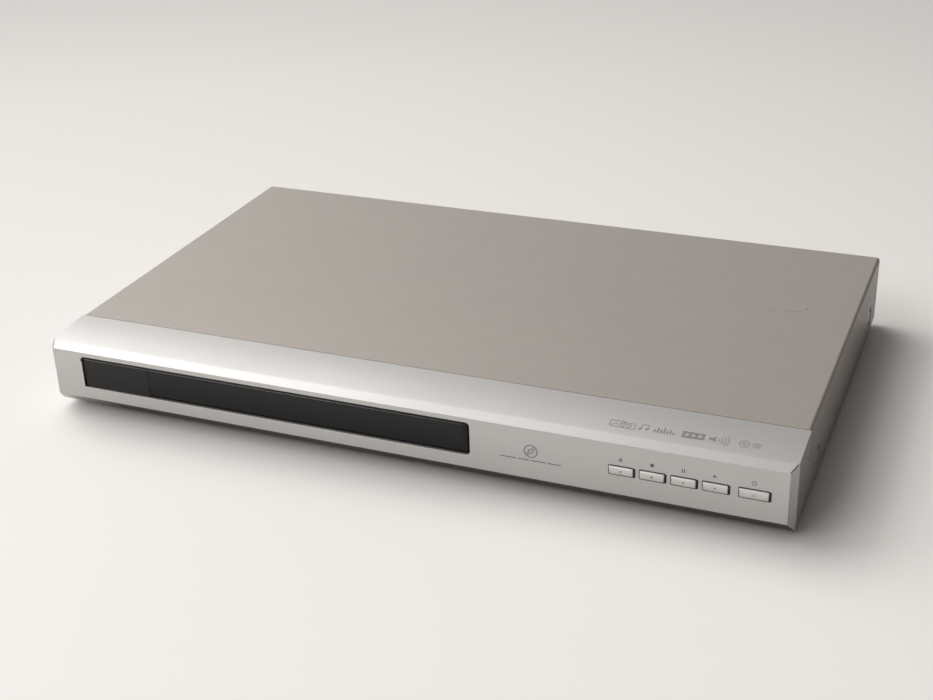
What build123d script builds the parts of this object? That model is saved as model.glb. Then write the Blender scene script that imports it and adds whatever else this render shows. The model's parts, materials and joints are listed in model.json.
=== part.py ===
from build123d import *
from math import atan, cos, pi, radians, sin, sqrt, tan
import os

os.makedirs("parts", exist_ok=True)

# Disc player with a sliding tray. Millimetres, +Z up, +X to the viewer's right, front face towards -Y.
# The origin is on the surface the player stands on, under the middle of its outline.

# ---- Case ----
case_width = 430.0
case_depth = 266.0          # front face to the rear edge of the cover
case_height = 40.3          # underside of the case to the top of the cover
foot_height = 4.7
sheet = 0.8                 # cover and rear panel
pan_sheet = 1.0             # bottom chassis
side_gap = 0.1              # chassis to the inside of the cover
seam_gap = 0.3              # bezel to cover
cover_bend = 2.0
lip_height = 9.0            # rear lip of the cover
jack_reach = 8.5            # phono jacks beyond the rear edge of the cover
hole_play = 0.2             # round a screw in a plain hole
screw_radius = 1.5

# ---- Bezel ----
bezel_depth = 36.3
bezel_wall = 2.2
chin_height = 6.5           # the front face starts this far above the underside
chin_depth = 6.5
face_height = 29.2
brow_depth = 5.6            # steep band above the front face
brow_rise = 2.1
crown_bulge = 0.55          # how far the top of the bezel bows above a straight line
seam_step = 0.1             # cover stands this far above the bezel at the seam
corner_width = 3.0          # bevel down each front corner
corner_depth = 7.0
lip_depth = 12.0            # bottom wall of the bezel
tongue_length = 5.0         # rim that slides under the cover
tongue_wall = 1.6
tongue_play = 0.1

# ---- Dark strip: display window and tray door ----
strip_inset = 21.8          # left end of the strip to the side of the case
strip_width = 239.5
strip_low = 13.7            # above the underside of the case
strip_height = 18.8
strip_corner = 2.5
window_width = 43.6
strip_recess = 1.0
strip_play = 0.35           # round the door and between door and window
door_thickness = 4.0
door_bevel = 1.2
window_flange = 1.4
window_back = 2.0

# ---- Buttons ----
button_pitch = 16.0
button_row = 67.1           # first button to the power button
button_width = 13.3
button_height = 5.3
power_inset = 19.9          # power button to the side of the case
power_width = 15.4
power_height = 5.6
button_centre = 20.4        # above the underside of the case
button_play = 0.35
button_proud = 0.8
button_bevel = 0.5
button_travel = 0.5
button_flange = 1.2
button_flange_reach = 1.0   # flange beyond the cap, behind the wall
button_stem_radius = 1.6
rest_gap = 0.1              # flange to the back of the wall

# ---- Boards ----
board = 1.6
switch_size = 6.0
switch_height = 3.5
plunger_height = 1.0
plunger_radius = 1.4
front_board_depth = 11.4    # front face of the bezel to the boards behind it
front_board_height = 25.0
button_board_width = 98.0
display_board_width = 66.0
led_width = 32.0
led_height = 14.0
board_post_radius = 2.4
post_bore = 7.0
led_inset = 4.0             # display to the left end of the window
receiver_width = 5.0
receiver_gap = 0.8
connector_depth = 5.0
connector_height = 6.0
ribbon_width = 16.0
ribbon_thickness = 0.6
ribbon_bend = 3.0
ribbon_lift = 2.8           # ribbon above the floor of the chassis
main_board_inset = 22.0     # right edge of the board to the side of the case
main_board_gap = 8.65       # to the loader's ears
main_board_depth = 122.0
power_board_width = 70.0
power_board_depth = 176.0
power_board_inset = 42.0    # middle of the board to the side of the case
standoff_height = 6.3
standoff_radius = 4.0
board_inset = 7.0           # board screws in from the board's edges
board_rear_inset = 26.0     # rear row of screws, in front of the sockets
board_rear_gap = 2.4        # boards to the rear panel

# ---- Feet and screws ----
foot_radius = 14.0
foot_base_radius = 12.0
foot_pocket_radius = 5.0
foot_pocket = 3.0
foot_inset = 37.0           # from the side of the case
foot_front = 48.0           # from the front face
foot_rear = 40.0            # from the rear edge
head_radius = 3.2
head_height = 1.6
side_screw_front = 63.0     # from the front face
side_screw_rear = 26.0      # from the rear edge
side_screw_height = 11.0    # above the underside of the case
dimple_radius = 6.8
dimple_floor = 4.8
dimple_depth = 2.0
rear_screw_inset = 50.0     # from the side of the case

# ---- Loader ----
disc_radius = 60.0
disc_play = 1.0
small_disc_radius = 40.0
tray_length = 170.0
tray_under = 22.2           # above the underside of the case
tray_thickness = 5.5
recess_depth = 3.0
small_recess_depth = 1.0
tray_corner = 6.0
tray_front_wall = 3.0
tray_front_height = 14.5
hub_from_tray_front = 70.0
slot_half_width = 21.0
runner_side_gap = 0.5
edge_play = 1.5             # tray edge to the ledges
runner_thickness = 2.0
runner_gap = 0.3
finger_notch_radius = 12.0
frame_half = 74.0
tray_side_room = 9.0        # tray to the outside of the frame
frame_wall = 2.0
frame_base_low = 0.5        # frame base above the floor of the chassis
frame_base = 1.8
frame_front = 12.6          # from the front face
frame_back = 200.0
frame_wall_top = 29.3       # above the underside of the case
frame_rear_wall = 18.0
bay_half = 47.5             # opening that the traverse drops into
bay_front = 60.5            # from the front face
bay_back = 188.0
ledge_thickness = 2.1
guide_tab_length = 14.0
ear_length = 12.0
ear_width = 12.0
ear_thickness = 2.5
bridge_under = 33.5         # above the underside of the case
bridge_width = 32.0
bridge_sheet = 1.2
bridge_flange = 2.0
bridge_reach = 3.0          # bridge and pillars beyond the frame walls
pillar_width = 28.0

# ---- Tray drive ----
gear_module = 0.8
addendum = 0.8              # stub teeth, in modules
dedendum = 1.1
pressure_angle = 20.0
backlash = 0.16
drive_teeth = 24            # small wheel that drives the rack
wheel_teeth = 44            # large wheel below it
pinion_teeth = 14           # under the pulley
rack_inset = 14.0           # rack pitch line to the outside of the frame
rack_back = 3.0
rack_hang = 4.9
drive_gear_y = 33.0         # from the front face
pulley_turn = -10.0         # direction from the drive gear to the pulley gear
gear_floor = 13.9           # under the wheels, above the underside of the case
wheel_face = 3.0
drive_face = 4.6
pulley_radius = 12.0
pulley_face = 3.4
motor_pulley_radius = 4.0
motor_x = 12.0              # from the loader's centre line
motor_y = 27.0              # from the front face
loading_motor_radius = 12.2
motor_height = 12.4
motor_cup_wall = 1.6
cup_height = 4.0
belt_thickness = 1.2
groove_depth = 1.2
pulley_rim = 0.8
belt_play = 0.1
axle_radius = 2.0
run_clearance = 0.05
axle_boss_radius = 4.0
gear_gap = 0.3

# ---- Traverse ----
lowered_angle = 3.75
pivot_y = 183.0             # from the front face
pivot_height = 12.8         # above the underside of the case
pivot_radius = 2.0
pivot_reach = 5.5
lug_thickness = 4.0
lug_radius = 4.5
traverse_half = 44.0
traverse_front = 60.0       # from the front face
traverse_back = 186.0
deck_height = 15.9          # underside of its deck, above the underside of the case
deck = 1.6
rim_depth = 3.0             # rim under the deck
rim_wall = 2.0
window_half = 29.0
sled_bay_front = 88.0       # from the front face
sled_bay_back = 157.0
pin_spread = 25.0
pin_radius = 1.5
pin_height = 15.3           # above the underside of the case
cam_thickness = 2.0
cam_gap = 0.3
cam_wall = 2.0
cam_slope = 40.0
cam_half = 44.0
cam_height = 16.0
pin_play = 0.3
spindle_motor_radius = 12.0
spindle_motor_height = 5.6
shaft_radius = 1.0
disc_plane = 26.5           # top of the turntable, above the underside of the case
platter_radius = 14.5
platter = 2.0
pad_width = 3.0
pad_thickness = 0.5
hub_radius = 7.3
hub_height = 1.9
clamper_gap = 1.8           # turntable to clamper with no disc in
clamper_radius = 15.0
clamper_foot = 2.0
clamper_neck_radius = 10.0
clamper_neck_play = 2.0
clamper_flange_radius = 17.0
clamper_flange = 1.8
rod_radius = 1.5
rod_x = 31.0
rod_drop = 3.0              # rod axis below the deck
eye_radius = 2.8
sled_half = 27.0
sled_length = 34.0
sled_low = 9.6              # above the underside of the case
sled_high = 20.9
lens_from_hub = 25.0
lens_cover_half = 16.0
lens_cover_length = 26.0
lens_cover_height = 3.0
lens_radius = 2.6
lens_height = 1.2
screw_x = 39.5              # lead screw
lead = 3.0
lead_screw_radius = 1.5
sled_motor_radius = 5.0
sled_motor_length = 14.0
sled_motor_y = 163.0        # from the front face
rod_front = 80.0            # from the front face
rod_back = 166.0
rod_block = 6.0
rod_block_half = 4.0
block_floor = 1.0           # under the guide rods
rear_beam = 6.0
rear_beam_drop = 5.3
nut_length = 10.0
nut_half = 2.2
tongue_half = 1.8
slide_clearance = 0.05
screw_play = 0.3

# ---- Electronics ----
chip_size = 28.0
chip_height = 2.4
chip_part = -0.147          # from the middle of the main board, as a part of its width
chip_y = -14.0
sink_size = 34.0
sink_base = 2.0
fin_height = 10.0
fin_count = 8
fin_thickness = 1.2
transformer_width = 34.0
transformer_depth = 30.0
transformer_height = 24.0
core_width = 24.0
core_overhang = 4.0
mains_capacitor_radius = 9.0
mains_capacitor_height = 27.0

# ---- Rear ----
rca_gap = 25.0              # last jack to the SCART socket
rca_pitch = 14.0
rca_count = 4
rca_radius = 4.15
rca_wall = 0.9
rca_bore = 1.6
rca_height = 16.0           # above the underside of the case
rca_house_depth = 14.0
rca_house_half_height = 7.0
scart_inset = 60.0          # from the side of the case
scart_width = 50.0
scart_height = 17.0
scart_depth = 19.0
scart_wall = 1.8
scart_mouth = 6.0
scart_proud = 1.0
scart_slant = 5.0
inlet_inset = 43.0          # from the side of the case
inlet_lobe_radius = 4.6
inlet_waist = 3.2           # half height of the mouth between its lobes
inlet_pitch = 8.6
inlet_wall = 2.4
inlet_depth = 18.0
inlet_mouth = 12.0
inlet_pin_radius = 1.15
inlet_height = 16.0         # above the underside of the case
vent_count = 14
vent_pitch = 8.0
vent_width = 3.0
vent_height = 16.0
cutout_play = 0.4

# ---- Places worked out from the sizes above ----
front_y = -(case_depth + jack_reach - button_proud) / 2
seam_y = front_y + bezel_depth
back_y = front_y + case_depth
pan_z = foot_height
floor_z = pan_z + pan_sheet
top_z = pan_z + case_height
inner_half = case_width / 2 - sheet
foot_x = case_width / 2 - foot_inset
rear_screw_spread = case_width / 2 - rear_screw_inset

face_low = pan_z + chin_height
face_high = face_low + face_height
bezel_top = top_z - seam_step

strip_left = strip_inset - case_width / 2
strip_right = strip_left + strip_width
strip_z = pan_z + strip_low + strip_height / 2
window_right = strip_left + window_width
door_left = window_right + strip_play
door_right = strip_right - strip_play
loader_x = (door_left + door_right) / 2
door_y = front_y + strip_recess
tray_front_y = door_y + door_thickness
hub_y = tray_front_y + hub_from_tray_front

power_x = case_width / 2 - power_inset
button_first_x = power_x - button_row
button_z = pan_z + button_centre
front_board_y = front_y + front_board_depth
switch_y = front_board_y - switch_height
plunger_y = switch_y - plunger_height

panel_y = back_y - 2 * sheet
pan_front_y = front_y + lip_depth + seam_gap
board_back_y = panel_y - board_rear_gap
board_z = floor_z + standoff_height
foot_ys = [front_y + foot_front, back_y - foot_rear]
side_screw_ys = [front_y + side_screw_front, back_y - side_screw_rear]
side_screw_z = pan_z + side_screw_height

frame_front_y = front_y + frame_front
frame_back_y = front_y + frame_back
frame_z = floor_z + frame_base_low
frame_floor = frame_z + frame_base
frame_inner = frame_half - frame_wall
tray_width = 2 * (frame_half - tray_side_room)
bay_front_y = front_y + bay_front
bay_back_y = front_y + bay_back

tray_z = pan_z + tray_under
tray_top = tray_z + tray_thickness
recess_z = tray_top - recess_depth
runner_z = tray_z + runner_gap
tray_back_y = tray_front_y + tray_length

drive_radius = gear_module * drive_teeth / 2
wheel_radius = gear_module * wheel_teeth / 2
pinion_radius = gear_module * pinion_teeth / 2
rack_x = loader_x - frame_half + rack_inset
drive_x = rack_x + drive_radius
drive_y = front_y + drive_gear_y
gear_spacing = wheel_radius + pinion_radius
pulley_x = drive_x + gear_spacing * cos(radians(pulley_turn))
pulley_y = drive_y + gear_spacing * sin(radians(pulley_turn))
wheel_z = pan_z + gear_floor
drive_z = wheel_z + wheel_face
pulley_z = drive_z + 2 * gear_gap
motor_shaft_x = loader_x + motor_x
motor_shaft_y = front_y + motor_y

pivot_axis_y = front_y + pivot_y
pivot_z = pan_z + pivot_height
traverse_front_y = front_y + traverse_front
traverse_back_y = front_y + traverse_back
deck_z = pan_z + deck_height
rod_z = deck_z - rod_drop
pin_z = pan_z + pin_height
cam_back_y = traverse_front_y - cam_gap
cam_front_y = cam_back_y - cam_thickness
cam_wall_y = cam_front_y - cam_gap - cam_wall
pin_drop = (pivot_axis_y - (cam_front_y + cam_thickness / 2)) * radians(lowered_angle)
cam_travel = pin_drop / tan(radians(cam_slope))
disc_z = pan_z + disc_plane
bridge_z = pan_z + bridge_under
sled_front_y = hub_y + lens_from_hub - sled_length / 3
sled_bay_front_y = front_y + sled_bay_front
sled_bay_back_y = front_y + sled_bay_back
lens_y = hub_y + lens_from_hub

buttons = {
    "open_close_button": (button_first_x, button_width, button_height),
    "stop_button": (button_first_x + button_pitch, button_width, button_height),
    "pause_button": (button_first_x + 2 * button_pitch, button_width, button_height),
    "play_button": (button_first_x + 3 * button_pitch, button_width, button_height),
    "power_button": (power_x, power_width, power_height),
}


def facing(y):
    """Upright plane at depth y, drawn as the viewer sees it: X to the right, Z up. +amount comes forward."""
    return Plane.XZ.offset(-y)


def side_on(x):
    """Upright plane across the width at x, drawn with the depth Y to the right and Z up."""
    return Plane.YZ.offset(x)


def level(z):
    return Plane.XY.offset(z)


def draw_span(low_x, high_x, low_y, high_y, mode=Mode.ADD):
    """Rectangle between two corners."""
    with Locations(((low_x + high_x) / 2, (low_y + high_y) / 2)):
        Rectangle(high_x - low_x, high_y - low_y, mode=mode)


def involute(angle):
    return tan(angle) - angle


def draw_gear(teeth, centre, tooth_at):
    """Involute spur gear outline with one tooth centred on the direction tooth_at, in degrees."""
    pitch_radius = gear_module * teeth / 2
    base_radius = pitch_radius * cos(radians(pressure_angle))
    tip_radius = pitch_radius + addendum * gear_module
    root_radius = pitch_radius - dedendum * gear_module
    half_angle = pi / (2 * teeth) - backlash / 2 / pitch_radius + involute(radians(pressure_angle))
    flank_start = max(base_radius, root_radius)
    flank = [(root_radius, half_angle)] if root_radius < base_radius else []
    for step in range(3):
        radius = flank_start + (tip_radius - flank_start) * step / 2
        roll = sqrt(max((radius / base_radius) ** 2 - 1, 0))
        flank.append((radius, half_angle - (roll - atan(roll))))
    points = []
    for tooth in range(teeth):
        middle = radians(tooth_at) + 2 * pi * tooth / teeth
        side = [(radius, middle - angle) for radius, angle in flank]
        side += [(radius, middle + angle) for radius, angle in reversed(flank)]
        points += [(centre[0] + r * cos(a), centre[1] + r * sin(a)) for r, a in side]
    with BuildLine() as outline:
        Polyline(*points, close=True)
    make_face(outline.edges())


def draw_bezel_section():
    """Side view of the bezel: chin, upright face, steep brow, bowed crown."""
    chin = (front_y + chin_depth, pan_z)
    low = (front_y, face_low)
    high = (front_y, face_high)
    brow = (front_y + brow_depth, face_high + brow_rise)
    seam = (seam_y, bezel_top)
    crown = ((brow[0] + seam[0]) / 2, (brow[1] + seam[1]) / 2 + crown_bulge)
    with BuildLine() as outline:
        Polyline(brow, high, low, chin, (seam_y, pan_z), seam)
        ThreePointArc(seam, crown, brow)
    make_face(outline.edges())


# ================= Case =================

with BuildPart() as front_bezel:
    with BuildSketch(side_on(0)):
        draw_bezel_section()
    extrude(amount=case_width / 2, both=True)
    with BuildSketch(level(0)) as corners:
        with BuildLine():
            Polyline(
                (case_width / 2 - corner_width, front_y),
                (case_width / 2, front_y + corner_depth),
                (case_width / 2 + corner_width, front_y),
                close=True,
            )
        make_face()
        mirror(about=Plane.YZ)
    extrude(amount=top_z, mode=Mode.SUBTRACT)
    offset(amount=-bezel_wall, openings=faces().sort_by(Axis.Y)[-1])
    # The bottom wall ends where the chassis begins.
    with BuildSketch(level(pan_z)):
        draw_span(
            -case_width / 2 + bezel_wall,
            case_width / 2 - bezel_wall,
            front_y + lip_depth,
            seam_y,
        )
    extrude(amount=bezel_wall, mode=Mode.SUBTRACT)
    # Rim that slides under the front edge of the cover.
    rim_out = tongue_play + sheet
    with BuildSketch(facing(seam_y + tongue_length)):
        draw_span(-case_width / 2 + rim_out, case_width / 2 - rim_out, floor_z, top_z - rim_out)
        fillet(vertices().group_by(Axis.Y)[-1], cover_bend)
        rim_in = rim_out + tongue_wall
        draw_span(
            -case_width / 2 + rim_in,
            case_width / 2 - rim_in,
            floor_z,
            top_z - rim_in,
            mode=Mode.SUBTRACT,
        )
    extrude(amount=tongue_length + bezel_wall)
    # Mouth for the window and the tray door.
    with BuildSketch(facing(front_y)):
        draw_span(strip_left, strip_right, strip_z - strip_height / 2, strip_z + strip_height / 2)
        fillet(vertices().group_by(Axis.X)[-1], strip_corner)
    extrude(amount=-bezel_wall, mode=Mode.SUBTRACT)
    # Button mouths.
    with BuildSketch(facing(front_y)):
        for x, width, height in buttons.values():
            with Locations((x, button_z)):
                RectangleRounded(width, height, button_bevel)
    extrude(amount=-bezel_wall, mode=Mode.SUBTRACT)
    # Posts that carry the two front boards.
    button_board_x = (button_first_x + power_x) / 2
    display_board_x = strip_left - window_flange + display_board_width / 2 - board_inset
    post_xs = [
        button_board_x - button_board_width / 2 + board_post_radius,
        button_board_x + button_board_width / 2 - board_post_radius,
        display_board_x - display_board_width / 2 + board_post_radius,
        display_board_x + display_board_width / 2 - board_post_radius,
    ]
    front_board_low = face_low + bezel_wall
    post_z = front_board_low + board_post_radius
    with BuildSketch(facing(front_board_y)):
        with Locations(*[(x, post_z) for x in post_xs]):
            Circle(board_post_radius)
    extrude(amount=front_board_depth - bezel_wall / 2)
    with BuildSketch(facing(front_board_y)):
        with Locations(*[(x, post_z) for x in post_xs]):
            Circle(screw_radius + run_clearance)
    extrude(amount=post_bore, mode=Mode.SUBTRACT)
front_bezel.part.label = "front_bezel"
export_step(front_bezel.part, "parts/front_bezel.step")

with BuildPart() as top_cover:
    with BuildSketch(facing(back_y)):
        draw_span(-case_width / 2, case_width / 2, pan_z, top_z)
        fillet(vertices().group_by(Axis.Y)[-1], cover_bend)
    extrude(amount=case_depth - bezel_depth - seam_gap)
    open_ends = [faces().sort_by(Axis.Y)[0], faces().sort_by(Axis.Z)[0]]
    offset(amount=-sheet, openings=open_ends)
    # The back is open below its lip.
    with BuildSketch(facing(back_y)):
        draw_span(-inner_half, inner_half, pan_z, top_z - lip_height)
    extrude(amount=sheet, mode=Mode.SUBTRACT)
    for side in (-1, 1):
        for y in side_screw_ys:
            inward = Location((side * inner_half, y, side_screw_z), (0, -90 * side, 0))
            with Locations(inward):
                Cone(
                    dimple_radius,
                    dimple_floor,
                    dimple_depth,
                    align=(Align.CENTER, Align.CENTER, Align.MIN),
                )
            outer = Location((side * case_width / 2, y, side_screw_z), (0, -90 * side, 0))
            with Locations(outer):
                Cone(
                    dimple_radius,
                    dimple_floor,
                    dimple_depth,
                    align=(Align.CENTER, Align.CENTER, Align.MIN),
                    mode=Mode.SUBTRACT,
                )
                Cylinder(
                    screw_radius + hole_play,
                    2 * dimple_depth + sheet,
                    align=(Align.CENTER, Align.CENTER, Align.MIN),
                    mode=Mode.SUBTRACT,
                )
    # Screw holes through the rear lip.
    rear_screw_z = top_z - lip_height / 2
    rear_screw_xs = [-rear_screw_spread, 0, rear_screw_spread]
    with BuildSketch(facing(back_y)):
        with Locations(*[(x, rear_screw_z) for x in rear_screw_xs]):
            Circle(screw_radius + hole_play)
    extrude(amount=sheet, mode=Mode.SUBTRACT)
top_cover.part.label = "top_cover"
export_step(top_cover.part, "parts/top_cover.step")

pan_half = inner_half - side_gap
pan_back_y = panel_y
flange_half = inner_half - dimple_depth
pan_flange_height = side_screw_height + dimple_radius - pan_sheet
bay_clear = frame_half + ear_length + 2 * hole_play
main_board_left = loader_x + frame_half + ear_length + main_board_gap
main_board_width = case_width / 2 - main_board_inset - main_board_left
main_board_x = main_board_left + main_board_width / 2
power_board_x = power_board_inset - case_width / 2
main_board_y = board_back_y - main_board_depth / 2
power_board_y = board_back_y - power_board_depth / 2


def corner_screws(x, width, depth):
    """Four screw places of a board that lies along the rear panel."""
    rows = (board_back_y - board_rear_inset, board_back_y - depth + board_inset)
    return [(x + side * (width / 2 - board_inset), y) for side in (-1, 1) for y in rows]


main_board_screws = corner_screws(main_board_x, main_board_width, main_board_depth)
power_board_screws = corner_screws(power_board_x, power_board_width, power_board_depth)
board_screw_places = main_board_screws + power_board_screws
loader_screw_places = [
    (loader_x + i * (frame_half + ear_length / 2), y)
    for i in (-1, 1)
    for y in (frame_front_y + ear_width, frame_back_y - ear_width)
]
foot_places = [(i * foot_x, y) for i in (-1, 1) for y in foot_ys]
front_flange_y = front_board_y + board + plunger_height + 2 * pan_sheet

with BuildPart() as bottom_chassis:
    with BuildSketch(level(pan_z)):
        draw_span(-pan_half, pan_half, seam_y, pan_back_y)
        nose_half = case_width / 2 - bezel_wall - side_gap
        draw_span(-nose_half, nose_half, pan_front_y, seam_y)
        # Vent slots under the two boards.
        for x in (main_board_x, power_board_x):
            with Locations((x, (front_y + back_y) / 2)):
                with GridLocations(vent_pitch, 0, 7, 1):
                    SlotOverall(4 * vent_pitch, vent_width, rotation=90, mode=Mode.SUBTRACT)
    extrude(amount=pan_sheet)
    # Side flanges that the cover is screwed to.
    with BuildSketch(level(floor_z)):
        for side in (-1, 1):
            draw_span(
                min(side * flange_half, side * (flange_half - pan_sheet)),
                max(side * flange_half, side * (flange_half - pan_sheet)),
                seam_y + tongue_length + seam_gap,
                pan_back_y,
            )
    extrude(amount=pan_flange_height)
    # Front flange on both sides of the loader bay.
    with BuildSketch(level(floor_z)):
        draw_span(
            -flange_half, loader_x - bay_clear, front_flange_y, front_flange_y + pan_sheet
        )
        draw_span(
            loader_x + bay_clear, flange_half, front_flange_y, front_flange_y + pan_sheet
        )
    extrude(amount=face_height - pan_sheet)
    # Way through the front flange for the ribbon.
    ribbon_x = button_board_x
    ribbon_hole = 20.0
    with BuildSketch(facing(front_flange_y + pan_sheet)):
        draw_span(
            ribbon_x - ribbon_width / 2 - 2,
            ribbon_x + ribbon_width / 2 + 2,
            floor_z,
            floor_z + ribbon_hole,
        )
    extrude(amount=pan_sheet, mode=Mode.SUBTRACT)
    with BuildSketch(level(floor_z)):
        with Locations(*board_screw_places):
            Circle(standoff_radius)
    extrude(amount=standoff_height)
    screw_hole = screw_radius + run_clearance
    with BuildSketch(level(pan_z)):
        with Locations(*board_screw_places, *loader_screw_places):
            Circle(screw_hole)
        with Locations(*foot_places):
            Circle(screw_hole)
    extrude(amount=pan_sheet + standoff_height, mode=Mode.SUBTRACT)
    with BuildSketch(side_on(-case_width / 2)):
        with Locations(*[(y, side_screw_z) for y in side_screw_ys]):
            Circle(screw_hole)
    extrude(amount=case_width, mode=Mode.SUBTRACT)
bottom_chassis.part.label = "bottom_chassis"
export_step(bottom_chassis.part, "parts/bottom_chassis.step")

scart_x = case_width / 2 - scart_inset
inlet_x = inlet_inset - case_width / 2
rca_last_x = scart_x - scart_width / 2 - rca_gap
rca_xs = [rca_last_x - i * rca_pitch for i in reversed(range(rca_count))]
rca_z = pan_z + rca_height
scart_z = board_z + board + scart_height / 2
inlet_z = pan_z + inlet_height
inlet_body_radius = inlet_lobe_radius + inlet_wall


def draw_scart(grow, mode=Mode.ADD):
    """Socket outline: a rectangle with its two lower corners cut off, larger by grow all round."""
    half_width = scart_width / 2 + grow
    half_height = scart_height / 2 + grow
    cut = scart_slant
    corners = [
        (-half_width, half_height),
        (half_width, half_height),
        (half_width, cut - half_height),
        (half_width - cut, -half_height),
        (cut - half_width, -half_height),
        (-half_width, cut - half_height),
    ]
    with BuildLine() as outline:
        Polyline(*[(scart_x + x, scart_z + z) for x, z in corners], close=True)
    make_face(outline.edges(), mode=mode)


with BuildPart() as rear_panel:
    with BuildSketch(facing(back_y - sheet)):
        draw_span(-pan_half, pan_half, floor_z, top_z - sheet - side_gap)
        fillet(vertices().group_by(Axis.Y)[-1], cover_bend)
        draw_scart(cutout_play, mode=Mode.SUBTRACT)
        with Locations(*[(x, rca_z) for x in rca_xs]):
            Circle(rca_radius - rca_wall + cutout_play, mode=Mode.SUBTRACT)
        with Locations((inlet_x, inlet_z)):
            SlotCenterToCenter(inlet_pitch, 2 * (inlet_body_radius + cutout_play), mode=Mode.SUBTRACT)
        with Locations((loader_x, inlet_z + inlet_wall)):
            with GridLocations(vent_pitch, 0, vent_count, 1):
                SlotOverall(vent_height, vent_width, rotation=90, mode=Mode.SUBTRACT)
        with Locations(*[(x, rear_screw_z) for x in rear_screw_xs]):
            Circle(screw_hole, mode=Mode.SUBTRACT)
    extrude(amount=sheet)
rear_panel.part.label = "rear_panel"
export_step(rear_panel.part, "parts/rear_panel.step")

with BuildPart() as feet:
    with Locations(*[(x, y, 0) for x, y in foot_places]):
        Cone(
            foot_base_radius,
            foot_radius,
            foot_height,
            align=(Align.CENTER, Align.CENTER, Align.MIN),
        )
    with BuildSketch(level(0)):
        with Locations(*foot_places):
            Circle(foot_pocket_radius)
    extrude(amount=foot_pocket, mode=Mode.SUBTRACT)
    with BuildSketch(level(0)):
        with Locations(*foot_places):
            Circle(screw_hole)
    extrude(amount=foot_height, mode=Mode.SUBTRACT)
feet.part.label = "feet"
export_step(feet.part, "parts/feet.step")

# ================= Screws =================


def place_screws(places, shank):
    """Pan-head screws: each location is the seat of the head, with the head on its +Z side."""
    with Locations(*places):
        Cylinder(head_radius, head_height, align=(Align.CENTER, Align.CENTER, Align.MIN))
        Cylinder(screw_radius, shank, align=(Align.CENTER, Align.CENTER, Align.MAX))


with BuildPart() as cover_side_screws:
    seat = case_width / 2 - dimple_depth
    places = [Location((i * seat, y, side_screw_z), (0, 90 * i, 0)) for i in (-1, 1) for y in side_screw_ys]
    place_screws(places, 4 * sheet + pan_sheet)
cover_side_screws.part.label = "cover_side_screws"
export_step(cover_side_screws.part, "parts/cover_side_screws.step")

with BuildPart() as cover_rear_screws:
    places = [Location((x, back_y, rear_screw_z), (-90, 0, 0)) for x in rear_screw_xs]
    place_screws(places, 6 * sheet)
cover_rear_screws.part.label = "cover_rear_screws"
export_step(cover_rear_screws.part, "parts/cover_rear_screws.step")

with BuildPart() as foot_screws:
    places = [Location((x, y, foot_pocket), (180, 0, 0)) for x, y in foot_places]
    place_screws(places, floor_z + 2 * pan_sheet - foot_pocket)
foot_screws.part.label = "foot_screws"
export_step(foot_screws.part, "parts/foot_screws.step")

with BuildPart() as loader_screws:
    ear_top = floor_z + ear_thickness
    place_screws([Location((x, y, ear_top)) for x, y in loader_screw_places], ear_top - pan_z - run_clearance)
loader_screws.part.label = "loader_screws"
export_step(loader_screws.part, "parts/loader_screws.step")

with BuildPart() as board_screws:
    board_top = board_z + board
    place_screws([Location((x, y, board_top)) for x, y in board_screw_places], board + standoff_height - 1)
board_screws.part.label = "board_screws"
export_step(board_screws.part, "parts/board_screws.step")

with BuildPart() as front_board_screws:
    places = [Location((x, front_board_y + board, post_z), (-90, 0, 0)) for x in post_xs]
    place_screws(places, board + post_bore - 1)
front_board_screws.part.label = "front_board_screws"
export_step(front_board_screws.part, "parts/front_board_screws.step")

with BuildPart() as bridge_screws:
    bridge_screw_x = frame_inner + (frame_wall + bridge_reach) / 2
    places = [Location((loader_x + i * bridge_screw_x, hub_y, bridge_z + bridge_sheet)) for i in (-1, 1)]
    place_screws(places, bridge_sheet + 3 * screw_radius)
bridge_screws.part.label = "bridge_screws"
export_step(bridge_screws.part, "parts/bridge_screws.step")

# ================= Front =================

with BuildPart() as display_window:
    with BuildSketch(facing(front_y + bezel_wall)):
        draw_span(
            strip_left + strip_play,
            window_right,
            strip_z - strip_height / 2 + strip_play,
            strip_z + strip_height / 2 - strip_play,
        )
    extrude(amount=bezel_wall - strip_recess)
    chamfer(faces().sort_by(Axis.Y)[0].edges(), (bezel_wall - strip_recess) / 2)
    with BuildSketch(facing(front_y + bezel_wall + window_back)):
        draw_span(
            strip_left - window_flange,
            window_right,
            strip_z - strip_height / 2 - window_flange,
            strip_z + strip_height / 2 + window_flange,
        )
    extrude(amount=window_back)
display_window.part.label = "display_window"
export_step(display_window.part, "parts/display_window.step")

with BuildPart() as tray_door:
    with BuildSketch(facing(tray_front_y)):
        draw_span(
            door_left,
            door_right,
            strip_z - strip_height / 2 + strip_play,
            strip_z + strip_height / 2 - strip_play,
        )
        fillet(vertices().group_by(Axis.X)[-1], strip_corner - strip_play)
    extrude(amount=door_thickness)
    chamfer(faces().sort_by(Axis.Y)[0].edges(), door_bevel)
tray_door.part.label = "tray_door"
export_step(tray_door.part, "parts/tray_door.step")

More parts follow.
